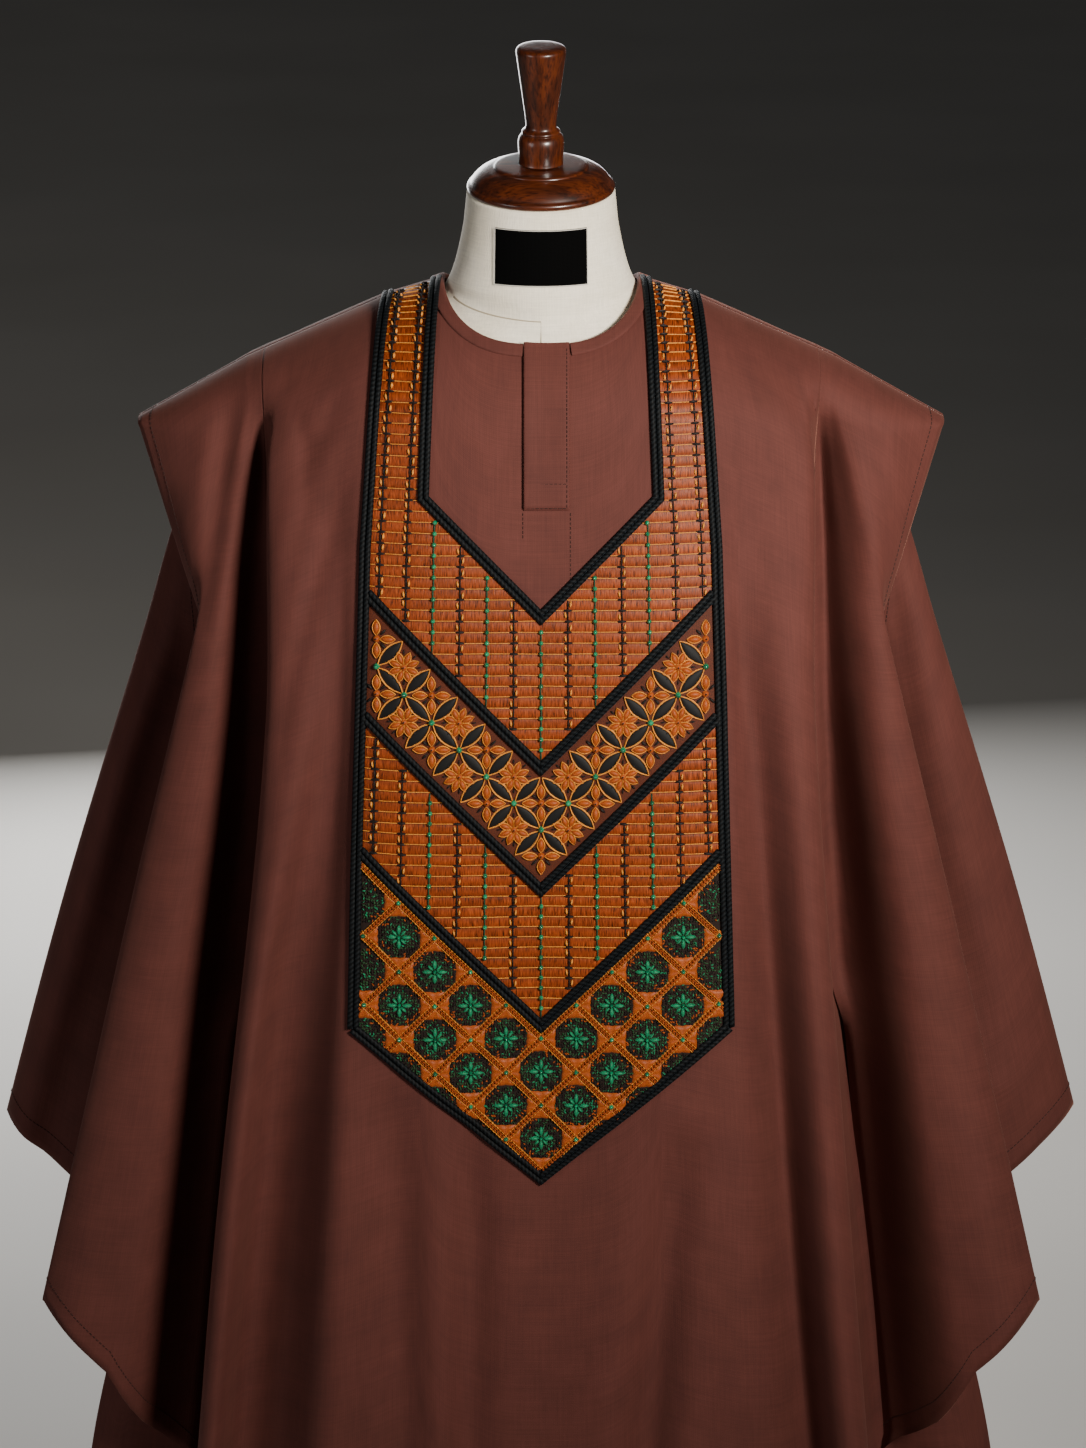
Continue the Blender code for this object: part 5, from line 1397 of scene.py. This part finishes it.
def satin_field():
    """Upright satin threads: silky, lighter and darker by the stitch, each block a tone of its own, with
    painted shade along the row lines.
    """
    satin = Finish("orange satin stitch", Roughness=0.46, Sheen_Weight=0.10, Sheen_Roughness=0.35,
                   Sheen_Tint=srgb("#E09050"), Specular_IOR_Level=0.18)
    add = satin.add
    places = add("UVMap", uv_map="cut")
    upright = add("Mapping", {"Vector": places, "Scale": (1500.0, 95.0, 1.0)})     # threads 0.7 mm apart
    threads = add("TexNoise", {"Vector": upright, "Scale": 1.0, "Roughness": 0.7})
    colour = add("ValToRGB", {"Fac": threads},
                 stops=((0.33, SATIN_DEEP), (0.46, SATIN_MID), (0.60, SATIN), (0.74, SATIN_LIGHT)))
    blocks = add("Mapping", {"Vector": places, "Scale": (1 / COLUMN, 1 / ROW, 1.0)})
    blocks = add("VectorMath", {0: blocks}, operation="FLOOR")
    lot = add("TexWhiteNoise", {"Vector": blocks}, noise_dimensions="2D")
    lot = add("Math", {0: lot, 1: 0.24, 2: 0.80}, operation="MULTIPLY_ADD")
    colour = add("Mix", {0: 1.0, 6: colour, 7: lot}, 2, **TIMES)
    # painted shade: each row is darker near its row lines, where the satin dips between the pillows
    rows = add("SeparateXYZ", {0: places}, "Y")
    rows = add("Math", {0: rows, 1: ROW}, operation="DIVIDE")
    rows = add("Math", {0: rows, 1: 0.5}, operation="PINGPONG")
    painted_row_shade = add("ValToRGB", {"Fac": rows}, stops=((0.0, "#A8A8A8"), (0.16, "#F0F0F0"), (0.5, "#FFFFFF")))
    colour = add("Mix", {0: 1.0, 6: colour, 7: painted_row_shade}, 2, **TIMES)
    return satin.done(colour, threads, 0.55, 0.0005)


def thread(name, codes, roughness):
    """Embroidery thread: fine strands, lighter and darker along the stitch."""
    spun = Finish(name, Roughness=roughness, Sheen_Weight=0.05, Specular_IOR_Level=0.25)
    places = spun.add("UVMap", uv_map="cut")
    # strands 0.7 mm apart, and patches of shade 11 mm across
    strands = spun.add("TexNoise", {"Vector": places, "Scale": 1400.0, "Roughness": 0.6})
    patch = spun.add("TexNoise", {"Vector": places, "Scale": 90.0})
    colour = spun.add("ValToRGB", {"Fac": strands}, stops=((0.35, codes[0]), (0.62, codes[1])))
    patch = spun.add("Math", {0: patch, 1: 0.5, 2: 0.74}, operation="MULTIPLY_ADD")
    colour = spun.add("Mix", {0: 1.0, 6: colour, 7: patch}, 2, **TIMES)
    return spun.done(colour, strands, 0.4, 0.0003)


def black_cord():
    """Braided black cord: a dull sheen on its slanted strands."""
    braid = Finish("black braided cord", Roughness=0.62, Sheen_Weight=0.08, Sheen_Roughness=0.40,
                   Sheen_Tint=srgb("#8090A0"), Specular_IOR_Level=0.12)
    add = braid.add
    places = add("UVMap", uv_map="cut")
    run = add("SeparateXYZ", {0: places}, "X")
    # each strand climbs 4.2 mm while it goes half way round
    climb = add("Math", {0: run, 1: 0.0042}, operation="DIVIDE")
    round_it = add("Math", {0: run.node.outputs["Y"], 1: 2.0}, operation="MULTIPLY")
    strands = add("Math", {0: climb, 1: round_it}, operation="ADD")
    strands = add("Math", {0: strands, 1: 0.5}, operation="PINGPONG")
    fuzz = add("TexNoise", {"Vector": places, "Scale": 700.0})
    # painted shade: the colour follows the strands' relief, darkest in the grooves between them
    colour = add("ValToRGB", {"Fac": strands}, stops=((0.02, "#020203"), (0.25, "#0A0C0D"), (0.5, "#15191C")))
    fuzz = add("Math", {0: fuzz, 1: 0.8, 2: 0.6}, operation="MULTIPLY_ADD")
    colour = add("Mix", {0: 1.0, 6: colour, 7: fuzz}, 2, **TIMES)
    return braid.done(colour, strands, 0.6, 0.0010)


def linen():
    """Cream linen drawn tight over the form: an even open weave with thicker threads here and there."""
    cover = Finish("cream linen", Roughness=0.85, Sheen_Weight=0.12, Specular_IOR_Level=0.2)
    add = cover.add
    places = add("TexCoord", out="Object")
    weave = woven(add, places, 0.0014)       # drawn coarser: the real threads are 0.5 mm apart
    # thick level threads 1.1 mm apart, and upright ones 1.4 mm apart
    level, upright = (add("Mapping", {"Vector": places, "Scale": drawn})
                      for drawn in ((60.0, 60.0, 900.0), (700.0, 700.0, 18.0)))
    level, upright = (add("TexNoise", {"Vector": way, "Scale": 1.0}) for way in (level, upright))
    stain = add("TexNoise", {"Vector": places, "Scale": 14.0, "Detail": 3.0})
    colour = add("ValToRGB", {"Fac": stain}, stops=((0.3, "#E6DBC3"), (0.7, "#F4ECDA")))
    lines = add("Math", {0: level, 1: upright}, operation="ADD")
    lines = add("Math", {0: lines, 1: 0.30, 2: 0.70}, operation="MULTIPLY_ADD")
    colour = add("Mix", {0: 1.0, 6: colour, 7: lines}, 2, **TIMES)
    relief = add("Math", {0: weave, 1: lines}, operation="ADD")
    return cover.done(colour, relief, 0.22, 0.0003)


def woven_label():
    """Black damask label: close matte ribs, 1.1 mm apart."""
    damask = Finish("black woven label", Roughness=0.9, Specular_IOR_Level=0.03)
    ribs = woven(damask.add, damask.add("UVMap", uv_map="cut"), 0.0011)
    colour = damask.add("ValToRGB", {"Fac": ribs}, stops=((0.2, "#010101"), (1.0, "#070707")))
    return damask.done(colour, ribs, 0.3, 0.0002)


def varnished_wood(name, grain):
    """Red-brown hardwood under a glossy varnish; `grain` is how often it changes along x, y and z."""
    wood = Finish(name, Roughness=0.36, Coat_Weight=0.45, Coat_Roughness=0.16, Specular_IOR_Level=0.35)
    add = wood.add
    places = add("Mapping", {"Vector": add("TexCoord", out="Object"), "Scale": grain})
    bands = add("TexNoise", {"Vector": places, "Scale": 1.0, "Detail": 4.0, "Roughness": 0.62})
    pores = add("Mapping", {"Vector": places, "Scale": (5.0, 5.0, 5.0)})
    pores = add("TexNoise", {"Vector": pores, "Scale": 1.0, "Detail": 3.0})
    colour = add("ValToRGB", {"Fac": bands},
                 stops=((0.25, "#1E0B03"), (0.45, "#3E1908"), (0.60, "#54240C"), (0.80, "#301205")))
    dark = add("ValToRGB", {"Fac": pores}, stops=((0.35, "#B0A8A0"), (0.5, "#FFFFFF")))
    colour = add("Mix", {0: 1.0, 6: colour, 7: dark}, 2, **TIMES)
    return wood.done(colour, pores, 0.08, 0.0003)


def mottled(name, scale, detail, stops, **sockets):
    """A smooth surface whose colour drifts a little."""
    even = Finish(name, **sockets)
    places = even.add("TexCoord", out="Object")
    tone = even.add("TexNoise", {"Vector": places, "Scale": scale, "Detail": detail})
    return even.done(even.add("ValToRGB", {"Fac": tone}, stops=stops))


# ---------------------------------------------------------------- camera, floor and lights
CAMERA_UP = math.radians(17.0)
CAMERA_FAR = 4.5
CAMERA_AIM = Vector((0.0017, 0.0, 1.108))
LENS_MM = 128.76
FRAME_MM = 36.0
WORLD_LIGHT, KEY_WATTS, FILL_WATTS, BACK_WATTS = 0.035, 19.0, 26, 110


def set_camera():
    lens = bpy.data.cameras.new("camera")
    lens.sensor_fit = "VERTICAL"
    lens.sensor_height = FRAME_MM
    lens.lens = LENS_MM
    lens.clip_end = 100.0
    camera = in_scene("camera", lens)
    camera.location = CAMERA_AIM + CAMERA_FAR * Vector((0, -math.cos(CAMERA_UP), math.sin(CAMERA_UP)))
    camera.rotation_euler = (math.pi / 2 - CAMERA_UP, 0, 0)
    bpy.context.scene.camera = camera


def area_light(name, place, size, watts, aim=(0, 0, 1.05), tint=(1, 1, 1), spread=180):
    lamp = bpy.data.lights.new(name, "AREA")
    lamp.spread = math.radians(spread)
    lamp.shape = "DISK"
    lamp.size = size
    lamp.energy = watts
    lamp.color = tint
    thing = in_scene(name, lamp)
    thing.location = place
    thing.rotation_euler = (Vector(aim) - thing.location).to_track_quat("-Z", "Y").to_euler()


def studio():
    bm = bmesh.new()
    bmesh.ops.create_grid(bm, x_segments=1, y_segments=1, size=30.0)
    floor = to_object("floor", bm)
    floor.data.materials.append(mottled("pale matte floor", 1.3, 2.0, ((0.3, "#C4C1BC"), (0.7, "#CCC9C4")),
                                        Roughness=0.9, Specular_IOR_Level=0.2))
    world = bpy.data.worlds.new("studio")
    bpy.context.scene.world = world
    world.use_nodes = True
    world.node_tree.nodes["Background"].inputs["Color"].default_value = (1, 1, 1, 1)
    world.node_tree.nodes["Background"].inputs["Strength"].default_value = WORLD_LIGHT
    area_light("key", (1.36, -2.36, 2.25), 0.7, KEY_WATTS, (0.16, 0, 1.40), (1.0, 0.94, 0.86), 60)
    area_light("fill", (-2.8, -2.4, 1.7), 1.6, FILL_WATTS)
    area_light("back", (-0.6, 3.3, 1.5), 2.2, BACK_WATTS)


# ---------------------------------------------------------------- robe
def add_piece(thing, finish, nodes=()):
    """Give a piece its finish, hide the frame's parts that it stands for, and hang it on the root."""
    thing.data.materials.append(finish)
    if nodes:
        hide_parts(*nodes)
    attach(thing, "root")
    return thing


def declare(thing, flat):
    """Works out a sheet's area, at most that of its flat cut; nothing is done with it."""
    area = min(sum(face.area for face in thing.data.polygons), flat[0] * flat[1])


def make_robe(cloth, stitch):
    front_layer = Layer(mirrored_lines(FRONT_FOLDS), -1)
    back_layer = Layer(mirrored_lines(BACK_FOLDS), 1)
    grids = {"front_body": creased("front_body", body_grid(front_layer, NECK_FRONT), -1),
             "back_body": creased("back_body", body_grid(back_layer, NECK_BACK), 1)}
    for side, word in ((1, "right"), (-1, "left")):
        for which, facing, body, folds, hems in (
                ("front", -1, FRONT_FOLDS, SLEEVE_FRONT_FOLDS, SLEEVE_FRONT_HEM),
                ("back", 1, BACK_FOLDS, SLEEVE_BACK_FOLDS, SLEEVE_BACK_HEM)):
            lines = [(fold, side) for fold in (body[SLEEVE_GUIDE],) + folds][::side]
            layer = Layer(lines, facing, (1, 0) if side > 0 else (0, 1))
            name = "sleeve_%s_%s" % (which, word)
            grids[name] = creased(name, sleeve_grid(layer, hems, side), facing)
    sheets = {name: sheet_mesh("robe_" + name, grid, FLANK if "body" in name else 0)
              for name, grid in grids.items()}
    for name, grid in grids.items():
        lines = [surface_line(grid, BODY_HEM, "foot")]
        if "sleeve" in name:
            outer = "right" if name.endswith("right") == name.startswith("sleeve_front") else "left"
            lines = [surface_line(grid, SLEEVE_HEM, "foot"), surface_line(grid, CUFF_HEM, outer)]
        add_piece(seam_stitches("robe_stitches_" + name, lines), stitch)
        add_piece(sheets[name], cloth, (name,))
    for name, sheet in sheets.items():
        declare(sheet, BODY_CUT if "body" in name else SLEEVE_CUT)
        thicken(sheet)
    return front_layer, back_layer


def make_neck(front_layer, back_layer, front, back, cloth, stitch):
    edge, back_edge = neckline(front_layer, NECK_FRONT), neckline(back_layer, NECK_BACK)
    bands = (("left", band_between(edge, edge[0, 0], PLACKET_LEFT - 0.0004), front, "front_body"),
             ("right", band_between(edge, PLACKET_RIGHT + 0.0004, edge[-1, 0]), front, "front_body"),
             ("back", back_edge, back, "back_body"))
    for word, piece, ground, panel in bands:
        name = "neck_band_" + word
        band = add_piece(neck_band(name, piece, ground), cloth, (name,))
        declare(band, (float(run_along(piece)[-1]), BAND_CUT))
    fly = add_piece(placket_strip(edge, front), cloth, ("placket",))
    declare(fly, PLACKET_CUT)
    left, right, foot = PLACKET_LEFT + 0.0022, PLACKET_RIGHT - 0.0022, PLACKET_FOOT_Z + 0.0022
    bar, top = foot + 0.020, float(np.interp(0, edge[:, 0], edge[:, 1])) - 0.004
    sewn = dashes((left, bar), (left, foot), (right, foot), (right, bar), (left, bar))
    sewn += dashes((right, bar + 0.001), (right, top))
    add_piece(repeated("placket_stitches", strip(1, 4), sewn, front, 0.0026), stitch)
    below = []
    for x, low in ((PLACKET_LEFT - 0.0006, 1.3100), (PLACKET_RIGHT + 0.0008, 1.2680)):
        below += dashes((x, PLACKET_FOOT_Z - 0.001), (x, low))
    add_piece(repeated("front_seam_stitches", strip(1, 4), below, front), stitch)


def make_bib(front, finishes):
    outlines = field_outlines(front)
    grounds = {"bib_lattice_field": ("shade", plain_lift), "bib_point_field": ("ground", plain_lift)}
    for name, outline in outlines.items():
        finish, lift = grounds.get(name, ("satin", satin_lift))
        piece = add_piece(make_field(name, outline, front, lift), finishes[finish], (name,))
        left, right, low, high = extent(outline)
        declare(piece, (right - left, high - low))
    for name, path in cord_paths(front).items():
        add_piece(double_cord("robe_" + name, path, front), finishes["cord"], (name,))

    rows = satin_stitches([outlines["bib_upper_field"], outlines["bib_lower_field"]])
    net = lattice_stitches(outlines["bib_lattice_field"])
    knots = point_stitches(outlines["bib_point_field"])
    short, bead, petal, edge, knot = dome(8, 3), dome(10, 4), pointed(10, 3), leaf_edge(), dome(6, 2)
    stitched = (("row_threads", strip(3, 4), rows["row"], "light"),
                ("chain_stitches", short, rows["dark"], "dark"),
                ("chain_tufts", petal, rows["tuft"], "dark"),
                ("chain_puffs", petal, rows["puff"], "light"),
                ("vine_stitches", short, rows["vine"], "vine"),
                ("column_beads", bead, rows["bead"], "green"),
                ("rosette_petals", petal, net["petal"], "bright"),
                ("rosette_middles", bead, net["pad"], "bright"),
                ("petal_edges", edge, [spot[:5] + (0.0022,) for spot in net["petal"]], "light"),
                ("dark_leaves", petal, net["leaf"], "black"),
                ("leaf_edges", edge, [spot[:5] + (0.0020,) for spot in net["leaf"]], "light"),
                ("lattice_stitches", petal, net["dark"], "dark"),
                ("lattice_beads", bead, net["bead"], "green"),
                ("braid_stitches", short, knots["braid"], "bright"),
                ("braid_edges", short, knots["edge"], "light"),
                ("moss_stitches", knot, knots["moss"], "moss"),
                ("bright_green_stitches", knot, knots["green"], "knot_green"),
                ("rust_stitches", knot, knots["rust"], "bright"),
                ("black_stitches", knot, knots["black"], "dark"),
                ("green_leaves", petal, knots["leaf"], "knot_green"),
                ("corner_pads", corner_pad(), knots["pad"], "bright"),
                ("point_beads", bead, knots["bead"], "green"))
    for name, shape, spots, finish in stitched:
        lift = 0.0010 if name == "column_beads" else 0.0005
        add_piece(repeated(name, shape, spots, front, lift), finishes[finish])


# ---------------------------------------------------------------- dress form and stand
def make_stand():
    add_piece(make_form(), linen(), ("form_torso",))
    seam = thread("linen seam thread", ("#8F836C", "#B5A88E"), 0.8)
    base = [(-1.05 + k * 0.0525, 1.493 - 0.012 * math.sin(k / 20 * math.pi / 2)) for k in range(21)]
    front = [(0.0, 1.481 - 0.004 * k) for k in range(6)]
    back = [(math.pi - 1e-3, 1.560 - 0.010 * k) for k in range(8)]
    for name, path, wide in (("base", base, 0.0011), ("front", front, 0.0010), ("back", back, 0.0012)):
        add_piece(seam_on_form("form_%s_seam" % name, path, wide), seam)
    add_piece(make_label(), woven_label(), ("neck_label",))
    add_piece(label_border(), thread("pale label thread", ("#A8A49C", "#CFCBC2"), 0.7))

    # the grain runs across the cap and the foot, and along the finial and the pole
    across = varnished_wood("varnished wood, grain across", (14.0, 120.0, 120.0))
    upright = varnished_wood("varnished wood, grain upright", (120.0, 120.0, 10.0))
    cap_place = Vector((0, 0, NECK_TOP_Z))
    cap_top = cap_place + Matrix.Rotation(NECK_LEAN, 3, "X") @ Vector((0, 0, CAP_TALL))
    for name, node, finish, *turning in (
            ("form_cap", "neck_cap", across, CAP_SHAPE, 72, NECK_LEAN, cap_place),
            ("form_finial", "finial", upright, FINIAL_SHAPE, 48, NECK_LEAN, cap_top),
            ("form_pole", "stand_pole", upright, POLE_SHAPE, 40),
            ("form_foot", "stand_base", across, BASE_SHAPE, 96)):
        add_piece(turned(name, *turning), finish, (node,))


# ---------------------------------------------------------------- the whole scene
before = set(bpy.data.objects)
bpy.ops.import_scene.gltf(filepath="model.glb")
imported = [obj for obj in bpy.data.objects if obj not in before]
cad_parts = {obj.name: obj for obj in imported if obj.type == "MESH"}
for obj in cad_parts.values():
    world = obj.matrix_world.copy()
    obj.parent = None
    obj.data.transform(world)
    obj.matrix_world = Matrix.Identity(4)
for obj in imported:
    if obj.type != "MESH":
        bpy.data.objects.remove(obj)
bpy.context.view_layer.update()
set_camera()
studio()

cotton = robe_cloth()
# the stitches are darker than the cloth: partly the thread's own colour, partly painted shade of the sunken
# stitch line
thread_with_groove_shade = thread("robe sewing thread with painted groove shade", ("#1E0E0B", "#3A1F1A"), 0.8)
front_lines, back_lines = make_robe(cotton, thread_with_groove_shade)
front_ground = Ground(front_lines, "front_body")
back_ground = Ground(back_lines, "back_body")
make_neck(front_lines, back_lines, front_ground, back_ground, cotton, thread_with_groove_shade)
make_bib(front_ground, {
    "satin": satin_field(),
    # painted shade: the lattice field's orange ground is worked dark for the shade in the gaps between its
    # raised petals
    "shade": thread("orange ground with painted gap shade", ("#240C03", "#5A240A"), 0.7),
    "ground": thread("dark stitched ground", ("#120A07", "#24140C"), 0.8),
    "cord": black_cord(),
    "light": thread("pale orange thread", ("#A85A18", "#DE963C"), 0.50),
    "bright": thread("bright orange thread", ("#6E2A05", "#A85012"), 0.50),
    "dark": thread("dark brown thread", ("#080403", "#1A0F0A"), 0.55),
    "black": thread("black thread", ("#020202", "#090909"), 0.65),
    "vine": thread("deep green thread", ("#0B2A1C", "#164A32"), 0.50),
    "moss": thread("moss green thread", ("#0C2414", "#28502C"), 0.55),
    "knot_green": thread("bright green thread", ("#07452B", "#1A8A5C"), 0.50),
    "green": mottled("green glass beads", 160.0, 1.0, ((0.35, "#055034"), (0.65, "#128A5C")),
                     Roughness=0.22, Coat_Weight=0.5, Coat_Roughness=0.08),
})
make_stand()
